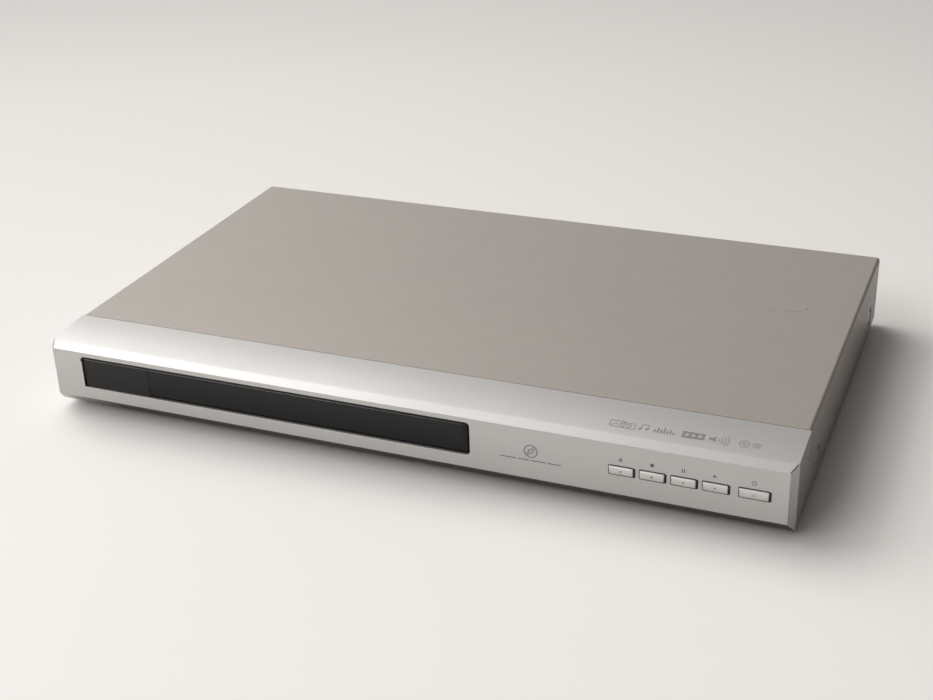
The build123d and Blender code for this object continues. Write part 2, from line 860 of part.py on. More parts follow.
for button_name, (x, width, height) in buttons.items():
    with BuildPart() as button:
        flange_y = front_y + bezel_wall + rest_gap
        cap_width = width - 2 * button_play
        cap_height = height - 2 * button_play
        with BuildSketch(facing(flange_y)):
            with Locations((x, button_z)):
                RectangleRounded(cap_width, cap_height, button_bevel)
        extrude(amount=flange_y - front_y + button_proud)
        chamfer(faces().sort_by(Axis.Y)[0].edges(), button_bevel)
        with BuildSketch(facing(flange_y)):
            with Locations((x, button_z)):
                Rectangle(cap_width + 2 * button_flange_reach, cap_height + 2 * button_flange_reach)
        extrude(amount=-button_flange)
        with BuildSketch(facing(flange_y)):
            with Locations((x, button_z)):
                Circle(button_stem_radius)
        extrude(amount=flange_y - plunger_y + button_travel + rest_gap)
    button.part.label = button_name
    export_step(button.part, f"parts/{button_name}.step")

with BuildPart() as button_board:
    with BuildSketch(facing(front_board_y)):
        draw_span(
            button_board_x - button_board_width / 2,
            button_board_x + button_board_width / 2,
            front_board_low,
            front_board_low + front_board_height,
        )
        with Locations(*[(x, post_z) for x in post_xs[:2]]):
            Circle(screw_hole, mode=Mode.SUBTRACT)
    extrude(amount=-board)
button_board.part.label = "button_board"
export_step(button_board.part, "parts/button_board.step")

with BuildPart() as tact_switches:
    with BuildSketch(facing(front_board_y)):
        with Locations(*[(x, button_z) for x, width, height in buttons.values()]):
            Rectangle(switch_size, switch_size)
    extrude(amount=switch_height)
    with BuildSketch(facing(switch_y)):
        with Locations(*[(x, button_z) for x, width, height in buttons.values()]):
            Circle(plunger_radius)
    extrude(amount=plunger_height)
tact_switches.part.label = "tact_switches"
export_step(tact_switches.part, "parts/tact_switches.step")

with BuildPart() as display_board:
    with BuildSketch(facing(front_board_y)):
        draw_span(
            display_board_x - display_board_width / 2,
            display_board_x + display_board_width / 2,
            front_board_low,
            front_board_low + front_board_height,
        )
        with Locations(*[(x, post_z) for x in post_xs[2:]]):
            Circle(screw_hole, mode=Mode.SUBTRACT)
    extrude(amount=-board)
display_board.part.label = "display_board"
export_step(display_board.part, "parts/display_board.step")

led_left = strip_left + led_inset
led_front_y = front_y + bezel_wall + window_back + seam_gap
with BuildPart() as led_display:
    with BuildSketch(facing(front_board_y)):
        draw_span(led_left, led_left + led_width, strip_z - led_height / 2, strip_z + led_height / 2)
    extrude(amount=front_board_y - led_front_y)
led_display.part.label = "led_display"
export_step(led_display.part, "parts/led_display.step")

receiver_x = led_left + led_width + receiver_gap + receiver_width / 2
with BuildPart() as remote_receiver:
    with BuildSketch(facing(front_board_y)):
        with Locations((receiver_x, strip_z)):
            Rectangle(receiver_width, switch_size)
    extrude(amount=switch_height)
    with BuildSketch(facing(switch_y)):
        with Locations((receiver_x, strip_z)):
            Circle(receiver_width / 2 - run_clearance)
    extrude(amount=plunger_height)
    chamfer(faces().sort_by(Axis.Y)[0].edges(), plunger_height / 2)
remote_receiver.part.label = "remote_receiver"
export_step(remote_receiver.part, "parts/remote_receiver.step")

# ================= Loader =================

wall_top = pan_z + frame_wall_top
ledge_inner = tray_width / 2 + edge_play
pillar_reach = frame_half + bridge_reach
lug_inner = traverse_half + 2 * gear_gap
ear_ys = [frame_front_y + ear_width, frame_back_y - ear_width]
tab_ys = [frame_front_y + guide_tab_length, hub_y + 2 * guide_tab_length, frame_back_y - guide_tab_length]
runner_top = runner_z + runner_thickness

with BuildPart() as loader_frame:
    with BuildSketch(level(frame_z)):
        draw_span(loader_x - frame_half, loader_x + frame_half, frame_front_y, frame_back_y)
        draw_span(
            loader_x - bay_half, loader_x + bay_half, bay_front_y, bay_back_y, mode=Mode.SUBTRACT
        )
    extrude(amount=frame_base)
    with BuildSketch(level(frame_z)):
        with Locations((loader_x, 0)):
            for side in (-1, 1):
                with Locations((side * (frame_half - frame_wall / 2), (frame_front_y + frame_back_y) / 2)):
                    Rectangle(frame_wall, frame_back_y - frame_front_y)
    extrude(amount=wall_top - frame_z)
    with BuildSketch(level(frame_z)):
        draw_span(loader_x - frame_half, loader_x + frame_half, frame_back_y - frame_wall, frame_back_y)
    extrude(amount=pan_z + frame_rear_wall - frame_z)
    # Ears that stand on the chassis.
    with BuildSketch(level(floor_z)):
        for side in (-1, 1):
            for y in ear_ys:
                with Locations((loader_x + side * (frame_half + (ear_length - frame_wall) / 2), y)):
                    Rectangle(ear_length + frame_wall, ear_width)
    extrude(amount=ear_thickness)
    # Pillars that carry the clamp bridge.
    with BuildSketch(level(frame_z)):
        for side in (-1, 1):
            with Locations((loader_x + side * (frame_inner + pillar_reach) / 2, hub_y)):
                Rectangle(pillar_reach - frame_inner, pillar_width)
    extrude(amount=bridge_z - frame_z)
    # Ledges under the tray's runners, and tabs above them.
    with BuildSketch(level(runner_z - runner_gap - ledge_thickness)):
        for side in (-1, 1):
            ledge_x = loader_x + side * (ledge_inner + frame_inner) / 2
            with Locations((ledge_x, (frame_front_y + frame_back_y) / 2)):
                Rectangle(frame_inner - ledge_inner, frame_back_y - frame_front_y)
    extrude(amount=ledge_thickness)
    with BuildSketch(level(runner_top + runner_gap)):
        for side in (-1, 1):
            for y in tab_ys:
                with Locations((loader_x + side * (ledge_inner + frame_inner) / 2, y)):
                    Rectangle(frame_inner - ledge_inner, guide_tab_length)
    extrude(amount=ledge_thickness)
    # Axles of the gears, each on a boss.
    with BuildSketch(level(frame_floor)):
        with Locations((drive_x, drive_y), (pulley_x, pulley_y)):
            Circle(axle_boss_radius)
    extrude(amount=wheel_z - gear_gap - frame_floor)
    with BuildSketch(level(frame_floor)):
        with Locations((drive_x, drive_y), (pulley_x, pulley_y)):
            Circle(axle_radius)
    extrude(amount=pulley_z + pulley_face - frame_floor)
    # Cup that holds the loading motor.
    with BuildSketch(level(frame_floor)):
        with Locations((motor_shaft_x, motor_shaft_y)):
            Circle(loading_motor_radius + run_clearance + motor_cup_wall)
            Circle(loading_motor_radius + run_clearance, mode=Mode.SUBTRACT)
    extrude(amount=cup_height)
    # Wall that the cam slider runs along.
    with BuildSketch(level(frame_floor)):
        draw_span(loader_x - cam_half, loader_x + cam_half, cam_wall_y, cam_wall_y + cam_wall)
    extrude(amount=0.75 * cam_height)
    # Bearing lugs of the traverse.
    for side in (-1, 1):
        lug_x = loader_x + side * (lug_inner + lug_thickness / 2)
        with BuildSketch(side_on(lug_x)):
            draw_span(pivot_axis_y - lug_radius, pivot_axis_y + lug_radius, frame_z, pivot_z)
            with Locations((pivot_axis_y, pivot_z)):
                Circle(lug_radius)
        extrude(amount=lug_thickness / 2, both=True)
    with BuildSketch(side_on(loader_x)):
        with Locations((pivot_axis_y, pivot_z)):
            Circle(pivot_radius + run_clearance)
    extrude(amount=lug_inner + 2 * lug_thickness, both=True, mode=Mode.SUBTRACT)
    # Screw holes in the ears and the pillars.
    with BuildSketch(level(floor_z)):
        with Locations(*loader_screw_places):
            Circle(screw_hole)
    extrude(amount=ear_thickness, mode=Mode.SUBTRACT)
    with BuildSketch(level(bridge_z)):
        with Locations((loader_x - bridge_screw_x, hub_y), (loader_x + bridge_screw_x, hub_y)):
            Circle(screw_hole)
    extrude(amount=-4 * screw_radius, mode=Mode.SUBTRACT)
loader_frame.part.label = "loader_frame"
export_step(loader_frame.part, "parts/loader_frame.step")

with BuildPart() as clamp_bridge:
    with BuildSketch(level(bridge_z)):
        with Locations((loader_x, hub_y)):
            Rectangle(2 * pillar_reach, bridge_width)
            Circle(clamper_neck_radius + clamper_neck_play, mode=Mode.SUBTRACT)
        with Locations((loader_x - bridge_screw_x, hub_y), (loader_x + bridge_screw_x, hub_y)):
            Circle(screw_hole, mode=Mode.SUBTRACT)
    extrude(amount=bridge_sheet)
    with BuildSketch(level(bridge_z)):
        for side in (-1, 1):
            with Locations((loader_x, hub_y + side * (bridge_width - bridge_sheet) / 2)):
                Rectangle(2 * ledge_inner, bridge_sheet)
    extrude(amount=-bridge_flange)
clamp_bridge.part.label = "clamp_bridge"
export_step(clamp_bridge.part, "parts/clamp_bridge.step")

with BuildPart() as clamper:
    clamper_z = disc_z + clamper_gap
    clamper_flange_z = bridge_z + bridge_sheet + gear_gap
    with BuildSketch(level(clamper_z)):
        with Locations((loader_x, hub_y)):
            Circle(clamper_radius)
    extrude(amount=clamper_foot)
    with BuildSketch(level(clamper_z + clamper_foot)):
        with Locations((loader_x, hub_y)):
            Circle(clamper_neck_radius)
    extrude(amount=clamper_flange_z - clamper_z - clamper_foot)
    with BuildSketch(level(clamper_flange_z)):
        with Locations((loader_x, hub_y)):
            Circle(clamper_flange_radius)
    extrude(amount=clamper_flange)
    chamfer(faces().sort_by(Axis.Z)[-1].edges(), clamper_flange / 3)
    with BuildSketch(level(clamper_z)):
        with Locations((loader_x, hub_y)):
            Circle(hub_radius + 2 * gear_gap)
    extrude(amount=hub_height - clamper_gap + 2 * gear_gap, mode=Mode.SUBTRACT)
clamper.part.label = "clamper"
export_step(clamper.part, "parts/clamper.step")

# ---- Tray ----

tooth_pitch = pi * gear_module


def rack_points():
    """Rack outline: straight back, trapezoid teeth towards +X with a gap opposite the drive gear."""
    root_x = rack_x - dedendum * gear_module
    tip_x = rack_x + addendum * gear_module
    slope = tan(radians(pressure_angle))
    half_pitch_line = tooth_pitch / 4 - backlash / 4
    root_half = half_pitch_line + dedendum * gear_module * slope
    tip_half = half_pitch_line - addendum * gear_module * slope
    tooth_count = int((tray_back_y - drive_y) / tooth_pitch + 3)
    first_y = drive_y - 2.5 * tooth_pitch
    points = [(root_x - rack_back, first_y - tooth_pitch), (root_x, first_y - tooth_pitch)]
    for tooth in range(tooth_count):
        middle = first_y + tooth * tooth_pitch
        points += [
            (root_x, middle - root_half),
            (tip_x, middle - tip_half),
            (tip_x, middle + tip_half),
            (root_x, middle + root_half),
        ]
    last_y = first_y + (tooth_count - 0.5) * tooth_pitch
    points += [(root_x, last_y), (root_x - rack_back, last_y)]
    return points


with BuildPart() as tray:
    with BuildSketch(level(tray_z)):
        draw_span(
            loader_x - tray_width / 2, loader_x + tray_width / 2, tray_front_y, tray_back_y
        )
        fillet(vertices().group_by(Axis.Y)[-1], tray_corner)
    extrude(amount=tray_thickness)
    with BuildSketch(level(runner_z)):
        runner_reach = frame_inner - runner_side_gap
        with Locations((loader_x, (tray_front_y + tray_back_y) / 2)):
            Rectangle(2 * runner_reach, tray_length - 2 * tray_corner)
    extrude(amount=runner_thickness)
    # Upright wall that the door is fixed to.
    with BuildSketch(facing(tray_front_y + tray_front_wall)):
        with Locations((loader_x, strip_z)):
            RectangleRounded(tray_width, tray_front_height, tray_front_wall)
    extrude(amount=tray_front_wall)
    # Disc recess, the smaller one inside it, and the finger notches at its edge.
    with BuildSketch(level(recess_z)):
        with Locations((loader_x, hub_y)):
            Circle(disc_radius + disc_play)
            notch_from_hub = disc_radius + disc_play
            with PolarLocations(notch_from_hub, 2, start_angle=-150, angular_range=120, endpoint=True):
                Circle(finger_notch_radius)
    extrude(amount=recess_depth, mode=Mode.SUBTRACT)
    with BuildSketch(level(recess_z - small_recess_depth)):
        with Locations((loader_x, hub_y)):
            Circle(small_disc_radius + disc_play)
    extrude(amount=small_recess_depth, mode=Mode.SUBTRACT)
    # Slot for the turntable and the pickup, open to the rear.
    with BuildSketch(level(tray_z)):
        with Locations((loader_x, hub_y)):
            Circle(slot_half_width)
        draw_span(loader_x - slot_half_width, loader_x + slot_half_width, hub_y, tray_back_y)
    extrude(amount=tray_thickness, mode=Mode.SUBTRACT)
    with BuildSketch(level(tray_z - rack_hang)):
        with BuildLine():
            Polyline(*rack_points(), close=True)
        make_face()
    extrude(amount=rack_hang)
tray.part.label = "tray"
export_step(tray.part, "parts/tray.step")

# ---- Gears, pulleys and belt ----

with BuildPart() as drive_gear:
    with BuildSketch(level(wheel_z)):
        draw_gear(wheel_teeth, (drive_x, drive_y), pulley_turn)
    extrude(amount=wheel_face)
    with BuildSketch(level(drive_z)):
        draw_gear(drive_teeth, (drive_x, drive_y), 180)
    extrude(amount=drive_face)
    with BuildSketch(level(wheel_z)):
        with Locations((drive_x, drive_y)):
            Circle(axle_radius + run_clearance)
    extrude(amount=wheel_face + drive_face, mode=Mode.SUBTRACT)
drive_gear.part.label = "drive_gear"
export_step(drive_gear.part, "parts/drive_gear.step")


def draw_pulley(x, y, radius):
    """Two rims with the belt's groove between them."""
    core = pulley_face - 2 * pulley_rim
    for height, low, size in (
        (pulley_rim, pulley_z, radius),
        (core, pulley_z + pulley_rim, radius - groove_depth),
        (pulley_rim, pulley_z + pulley_rim + core, radius),
    ):
        with Locations((x, y, low)):
            Cylinder(size, height, align=(Align.CENTER, Align.CENTER, Align.MIN))


with BuildPart() as pulley_gear:
    with BuildSketch(level(wheel_z)):
        draw_gear(pinion_teeth, (pulley_x, pulley_y), pulley_turn + 180 + 180 / pinion_teeth)
    extrude(amount=pulley_z - wheel_z)
    draw_pulley(pulley_x, pulley_y, pulley_radius)
    with BuildSketch(level(wheel_z)):
        with Locations((pulley_x, pulley_y)):
            Circle(axle_radius + run_clearance)
    extrude(amount=pulley_z + pulley_face - wheel_z, mode=Mode.SUBTRACT)
pulley_gear.part.label = "pulley_gear"
export_step(pulley_gear.part, "parts/pulley_gear.step")

with BuildPart() as motor_pulley:
    draw_pulley(motor_shaft_x, motor_shaft_y, motor_pulley_radius)
    with BuildSketch(level(pulley_z)):
        with Locations((motor_shaft_x, motor_shaft_y)):
            Circle(shaft_radius + run_clearance)
    extrude(amount=pulley_face, mode=Mode.SUBTRACT)
motor_pulley.part.label = "motor_pulley"
export_step(motor_pulley.part, "parts/motor_pulley.step")

with BuildPart() as loading_motor:
    with Locations((motor_shaft_x, motor_shaft_y, frame_floor)):
        Cylinder(loading_motor_radius, motor_height, align=(Align.CENTER, Align.CENTER, Align.MIN))
    chamfer(edges().group_by(Axis.Z)[-1], shaft_radius / 2)
    with Locations((motor_shaft_x, motor_shaft_y, frame_floor + motor_height)):
        Cylinder(3 * shaft_radius, shaft_radius, align=(Align.CENTER, Align.CENTER, Align.MIN))
        Cylinder(
            shaft_radius,
            pulley_z + pulley_face - frame_floor - motor_height,
            align=(Align.CENTER, Align.CENTER, Align.MIN),
        )
loading_motor.part.label = "loading_motor"
export_step(loading_motor.part, "parts/loading_motor.step")


def draw_belt_loop(gap, mode=Mode.ADD):
    """Outline round both pulleys, gap away from the bottom of their grooves."""
    big = pulley_radius - groove_depth + gap
    small = motor_pulley_radius - groove_depth + gap
    with BuildSketch(level(pulley_z + (pulley_face - belt_thickness) / 2), mode=Mode.PRIVATE) as ends:
        with Locations((pulley_x, pulley_y)):
            Circle(big)
        with Locations((motor_shaft_x, motor_shaft_y)):
            Circle(small)
    make_hull(ends.sketch_local.edges(), mode=mode)


with BuildPart() as drive_belt:
    with BuildSketch(level(pulley_z + (pulley_face - belt_thickness) / 2)):
        draw_belt_loop(belt_play + belt_thickness)
        draw_belt_loop(belt_play, mode=Mode.SUBTRACT)
    extrude(amount=belt_thickness)
drive_belt.part.label = "drive_belt"
export_step(drive_belt.part, "parts/drive_belt.step")

# ---- Traverse ----

cam_z = frame_floor + cam_gap
pin_xs = [loader_x - pin_spread, loader_x + pin_spread]

with BuildPart() as cam_slider:
    with BuildSketch(facing(cam_back_y)):
        draw_span(loader_x - cam_half, loader_x + cam_half, cam_z, cam_z + cam_height)
        with Locations(*[(x - cam_travel / 2, pin_z - pin_drop / 2) for x in pin_xs]):
            SlotCenterToCenter(
                pin_drop / sin(radians(cam_slope)),
                2 * (pin_radius + pin_play),
                rotation=cam_slope,
                mode=Mode.SUBTRACT,
            )
    extrude(amount=cam_thickness)
cam_slider.part.label = "cam_slider"
export_step(cam_slider.part, "parts/cam_slider.step")

rod_front_y = front_y + rod_front
rod_back_y = front_y + rod_back
sled_motor_front_y = front_y + sled_motor_y
lead_x = loader_x + screw_x
rod_xs = [loader_x - rod_x, loader_x + rod_x]

with BuildPart() as traverse_frame:
    with BuildSketch(level(deck_z)):
        draw_span(
            loader_x - traverse_half, loader_x + traverse_half, traverse_front_y, traverse_back_y
        )
    extrude(amount=deck)
    with BuildSketch(level(deck_z)):
        draw_span(
            loader_x - traverse_half, loader_x + traverse_half, traverse_front_y, traverse_back_y
        )
        draw_span(
            loader_x - traverse_half + rim_wall,
            loader_x + traverse_half - rim_wall,
            traverse_front_y + rim_wall,
            traverse_back_y - rim_wall,
            mode=Mode.SUBTRACT,
        )
    extrude(amount=-rim_depth)
    # Rear beam with the pivot pins.
    with BuildSketch(level(deck_z)):
        draw_span(
            loader_x - traverse_half, loader_x + traverse_half, traverse_back_y - rear_beam, traverse_back_y
        )
    extrude(amount=-rear_beam_drop)
    with BuildSketch(side_on(loader_x)):
        with Locations((pivot_axis_y, pivot_z)):
            Circle(pivot_radius)
    extrude(amount=traverse_half + pivot_reach, both=True)
    # Blocks that hold the guide rods, and the bracket of the sled motor.
    with BuildSketch(level(deck_z)):
        for y in (rod_front_y, rod_back_y - rod_block):
            for x in rod_xs:
                draw_span(x - rod_block_half, x + rod_block_half, y, y + rod_block)
        draw_span(lead_x - rod_block_half, loader_x + traverse_half, rod_front_y, rod_front_y + rod_block)
    extrude(amount=-rod_drop - rod_radius - run_clearance - block_floor)
    with BuildSketch(level(deck_z)):
        draw_span(
            lead_x - sled_motor_radius,
            loader_x + traverse_half,
            sled_motor_front_y - rim_wall,
            sled_motor_front_y,
        )
    extrude(amount=-rod_drop - sled_motor_radius)
    # Openings for the sled and its motor.
    with BuildSketch(level(deck_z - rod_drop - sled_motor_radius)):
        draw_span(loader_x - window_half, loader_x + window_half, sled_bay_front_y, sled_bay_back_y)
        draw_span(
            lead_x - sled_motor_radius - gear_gap,
            loader_x + traverse_half,
            sled_motor_front_y,
            sled_motor_front_y + sled_motor_length + gear_gap,
        )
    extrude(amount=rod_drop + sled_motor_radius + deck, mode=Mode.SUBTRACT)
    with BuildSketch(facing(rod_back_y)):
        with Locations(*[(x, rod_z) for x in rod_xs]):
            Circle(rod_radius + run_clearance)
    extrude(amount=rod_back_y - rod_front_y, mode=Mode.SUBTRACT)
    with BuildSketch(facing(sled_motor_front_y)):
        with Locations((lead_x, rod_z)):
            Circle(lead_screw_radius + run_clearance)
    extrude(amount=sled_motor_front_y - rod_front_y, mode=Mode.SUBTRACT)
    # Pins that ride in the cam slider's slots.
    with BuildSketch(facing(traverse_front_y)):
        with Locations(*[(x, pin_z) for x in pin_xs]):
            Circle(pin_radius)
    extrude(amount=traverse_front_y - cam_front_y)
traverse_frame.part.label = "traverse_frame"
export_step(traverse_frame.part, "parts/traverse_frame.step")

deck_top = deck_z + deck
platter_z = disc_z - pad_thickness - platter
with BuildPart() as spindle_motor:
    with Locations((loader_x, hub_y, deck_top)):
        Cylinder(spindle_motor_radius, spindle_motor_height, align=(Align.CENTER, Align.CENTER, Align.MIN))
    chamfer(edges().group_by(Axis.Z)[-1], shaft_radius / 2)
    with Locations((loader_x, hub_y, deck_top)):
        Cylinder(shaft_radius, disc_z - deck_top, align=(Align.CENTER, Align.CENTER, Align.MIN))
spindle_motor.part.label = "spindle_motor"
export_step(spindle_motor.part, "parts/spindle_motor.step")

with BuildPart() as turntable:
    boss_z = deck_top + spindle_motor_height + gear_gap
    with Locations((loader_x, hub_y, boss_z)):
        Cylinder(3 * shaft_radius, platter_z - boss_z, align=(Align.CENTER, Align.CENTER, Align.MIN))
    with Locations((loader_x, hub_y, platter_z)):
        Cylinder(platter_radius, platter, align=(Align.CENTER, Align.CENTER, Align.MIN))
    with Locations((loader_x, hub_y, platter_z + platter)):
        Cone(
            hub_radius,
            hub_radius - hub_height / 2,
            pad_thickness + hub_height,
            align=(Align.CENTER, Align.CENTER, Align.MIN),
        )
    with Locations((loader_x, hub_y, boss_z)):
        Cylinder(
            shaft_radius + run_clearance,
            disc_z + hub_height / 2 - boss_z,
            align=(Align.CENTER, Align.CENTER, Align.MIN),
            mode=Mode.SUBTRACT,
        )
turntable.part.label = "turntable"
export_step(turntable.part, "parts/turntable.step")

with BuildPart() as turntable_pad:
    with BuildSketch(level(disc_z - pad_thickness)):
        with Locations((loader_x, hub_y)):
            Circle(platter_radius)
            Circle(platter_radius - pad_width, mode=Mode.SUBTRACT)
    extrude(amount=pad_thickness)
turntable_pad.part.label = "turntable_pad"
export_step(turntable_pad.part, "parts/turntable_pad.step")

with BuildPart() as guide_rods:
    with BuildSketch(facing(rod_back_y)):
        with Locations(*[(x, rod_z) for x in rod_xs]):
            Circle(rod_radius)
    extrude(amount=rod_back_y - rod_front_y)
guide_rods.part.label = "guide_rods"
export_step(guide_rods.part, "parts/guide_rods.step")

with BuildPart() as pickup_sled:
    sled_back_y = sled_front_y + sled_length
    sled_z = pan_z + sled_low
    sled_top = pan_z + sled_high
    with BuildSketch(facing(sled_back_y)):
        draw_span(loader_x - sled_half, loader_x + sled_half, sled_z, sled_top)
        draw_span(rod_xs[0], rod_xs[1], rod_z - tongue_half, rod_z + tongue_half)
        with Locations(*[(x, rod_z) for x in rod_xs]):
            Circle(eye_radius)
            Circle(rod_radius + slide_clearance, mode=Mode.SUBTRACT)
    extrude(amount=sled_length)
    # Arm and nut on the lead screw.
    with BuildSketch(facing(sled_front_y + (sled_length + nut_length) / 2)):
        arm_x = rod_xs[1] + (eye_radius + rod_radius) / 2
        draw_span(arm_x, lead_x, rod_z - tongue_half, rod_z + tongue_half)
        with Locations((lead_x, rod_z)):
            Rectangle(2 * nut_half, 2 * eye_radius)
            Circle(lead_screw_radius + screw_play, mode=Mode.SUBTRACT)
    extrude(amount=nut_length)
pickup_sled.part.label = "pickup_sled"
export_step(pickup_sled.part, "parts/pickup_sled.step")

with BuildPart() as lens_cover:
    with BuildSketch(level(sled_top)):
        with Locations((loader_x, lens_y)):
            RectangleRounded(2 * lens_cover_half, lens_cover_length, lens_radius)
            Circle(lens_radius + 2 * gear_gap, mode=Mode.SUBTRACT)
    extrude(amount=lens_cover_height)
    chamfer(faces().sort_by(Axis.Z)[-1].outer_wire().edges(), lens_cover_height / 4)
lens_cover.part.label = "lens_cover"
export_step(lens_cover.part, "parts/lens_cover.step")

with BuildPart() as objective_lens:
    with Locations((loader_x, lens_y, sled_top)):
        Cylinder(
            lens_radius, lens_cover_height + lens_height, align=(Align.CENTER, Align.CENTER, Align.MIN)
        )
    chamfer(edges().group_by(Axis.Z)[-1], lens_height)
objective_lens.part.label = "objective_lens"
export_step(objective_lens.part, "parts/objective_lens.step")

with BuildPart() as lead_screw:
    with BuildSketch(facing(sled_motor_front_y - gear_gap)):
        with Locations((lead_x, rod_z)):
            Circle(lead_screw_radius)
    extrude(amount=sled_motor_front_y - gear_gap - rod_front_y)
lead_screw.part.label = "lead_screw"
export_step(lead_screw.part, "parts/lead_screw.step")

with BuildPart() as sled_motor:
    with BuildSketch(facing(sled_motor_front_y)):
        with Locations((lead_x, rod_z)):
            Circle(sled_motor_radius)
    extrude(amount=-sled_motor_length)
    chamfer(edges().group_by(Axis.Y)[-1], lead_screw_radius / 2)
sled_motor.part.label = "sled_motor"
export_step(sled_motor.part, "parts/sled_motor.step")

# ================= Boards and sockets =================

with BuildPart() as main_board:
    with BuildSketch(level(board_z)):
        with Locations((main_board_x, main_board_y)):
            Rectangle(main_board_width, main_board_depth)
        with Locations(*main_board_screws):
            Circle(screw_hole, mode=Mode.SUBTRACT)
    extrude(amount=board)
main_board.part.label = "main_board"
export_step(main_board.part, "parts/main_board.step")

chip_place = (main_board_x + chip_part * main_board_width, main_board_y + chip_y)
with BuildPart() as decoder_chip:
    with BuildSketch(level(board_top)):
        with Locations(chip_place):
            Rectangle(chip_size, chip_size)
    extrude(amount=chip_height)
decoder_chip.part.label = "decoder_chip"
export_step(decoder_chip.part, "parts/decoder_chip.step")

with BuildPart() as decoder_heatsink:
    sink_z = board_top + chip_height
    with BuildSketch(level(sink_z)):
        with Locations(chip_place):
            Rectangle(sink_size, sink_size)
    extrude(amount=sink_base)
    with BuildSketch(level(sink_z + sink_base)):
        with Locations(chip_place):
            with GridLocations((sink_size - fin_thickness) / (fin_count - 1), 0, fin_count, 1):
                Rectangle(fin_thickness, sink_size)
    extrude(amount=fin_height)
decoder_heatsink.part.label = "decoder_heatsink"
export_step(decoder_heatsink.part, "parts/decoder_heatsink.step")

# Radius, height, and place from the middle of the main board: across as a part of its width, and back.
capacitors = [
    (5.0, 14.0, -0.387, 22.0),
    (5.0, 14.0, -0.387, 8.0),
    (4.0, 11.0, -0.293, 20.0),
    (4.0, 11.0, 0.08, -34.0),
    (5.0, 16.0, 0.213, -20.0),
    (4.0, 11.0, 0.293, 6.0),
]
with BuildPart() as board_capacitors:
    for radius, height, part, y in capacitors:
        with Locations((main_board_x + part * main_board_width, main_board_y + y, board_top)):
            Cylinder(radius, height, align=(Align.CENTER, Align.CENTER, Align.MIN))
board_capacitors.part.label = "board_capacitors"
export_step(board_capacitors.part, "parts/board_capacitors.step")

with BuildPart() as scart_socket:
    with BuildSketch(facing(back_y + scart_proud)):
        draw_scart(0)
    extrude(amount=scart_depth)
    with BuildSketch(facing(back_y + scart_proud)):
        draw_scart(-scart_wall)
    extrude(amount=scart_mouth, mode=Mode.SUBTRACT)
scart_socket.part.label = "scart_socket"
export_step(scart_socket.part, "parts/scart_socket.step")

with BuildPart() as rca_housing:
    with BuildSketch(facing(panel_y)):
        draw_span(
            rca_xs[0] - rca_pitch / 2, rca_xs[-1] + rca_pitch / 2, board_top, rca_z + rca_house_half_height
        )
    extrude(amount=rca_house_depth)
rca_housing.part.label = "rca_housing"
export_step(rca_housing.part, "parts/rca_housing.step")

with BuildPart() as rca_barrels:
    with BuildSketch(facing(back_y + jack_reach)):
        with Locations(*[(x, rca_z) for x in rca_xs]):
            Circle(rca_radius)
            Circle(rca_radius - rca_wall, mode=Mode.SUBTRACT)
    extrude(amount=jack_reach + sheet)
rca_barrels.part.label = "rca_barrels"
export_step(rca_barrels.part, "parts/rca_barrels.step")

with BuildPart() as rca_cores:
    with BuildSketch(facing(back_y + jack_reach - rca_wall)):
        with Locations(*[(x, rca_z) for x in rca_xs]):
            Circle(rca_radius - rca_wall)
            Circle(rca_bore, mode=Mode.SUBTRACT)
    extrude(amount=back_y + jack_reach - rca_wall - panel_y)
rca_cores.part.label = "rca_cores"
export_step(rca_cores.part, "parts/rca_cores.step")

with BuildPart() as power_board:
    with BuildSketch(level(board_z)):
        with Locations((power_board_x, power_board_y)):
            Rectangle(power_board_width, power_board_depth)
        with Locations(*power_board_screws):
            Circle(screw_hole, mode=Mode.SUBTRACT)
    extrude(amount=board)
power_board.part.label = "power_board"
export_step(power_board.part, "parts/power_board.step")

with BuildPart() as transformer:
    with BuildSketch(level(board_top)):
        with Locations((power_board_x, power_board_y)):
            RectangleRounded(transformer_width, transformer_depth, core_overhang / 2)
    extrude(amount=transformer_height)
    with BuildSketch(facing(power_board_y + transformer_depth / 2 + core_overhang)):
        with Locations((power_board_x, board_top + transformer_height / 2)):
            Rectangle(core_width, transformer_height / 2)
    extrude(amount=transformer_depth + 2 * core_overhang)
transformer.part.label = "transformer"
export_step(transformer.part, "parts/transformer.step")

with BuildPart() as mains_capacitor:
    capacitor_y = power_board_y + transformer_depth + mains_capacitor_radius + core_overhang
    with Locations((power_board_x + mains_capacitor_radius, capacitor_y, board_top)):
        Cylinder(
            mains_capacitor_radius, mains_capacitor_height, align=(Align.CENTER, Align.CENTER, Align.MIN)
        )
    chamfer(edges().group_by(Axis.Z)[-1], shaft_radius / 2)
mains_capacitor.part.label = "mains_capacitor"
export_step(mains_capacitor.part, "parts/mains_capacitor.step")

with BuildPart() as power_heatsink:
    sink_y = power_board_y - transformer_depth
    with BuildSketch(level(board_top)):
        draw_span(
            power_board_x - sink_size / 2, power_board_x + sink_size / 2, sink_y - sink_base, sink_y
        )
        with Locations((power_board_x, sink_y - sink_base - fin_height / 2)):
            with GridLocations((sink_size - fin_thickness) / (fin_count - 1), 0, fin_count, 1):
                Rectangle(fin_thickness, fin_height)
    extrude(amount=transformer_height)
power_heatsink.part.label = "power_heatsink"
export_step(power_heatsink.part, "parts/power_heatsink.step")

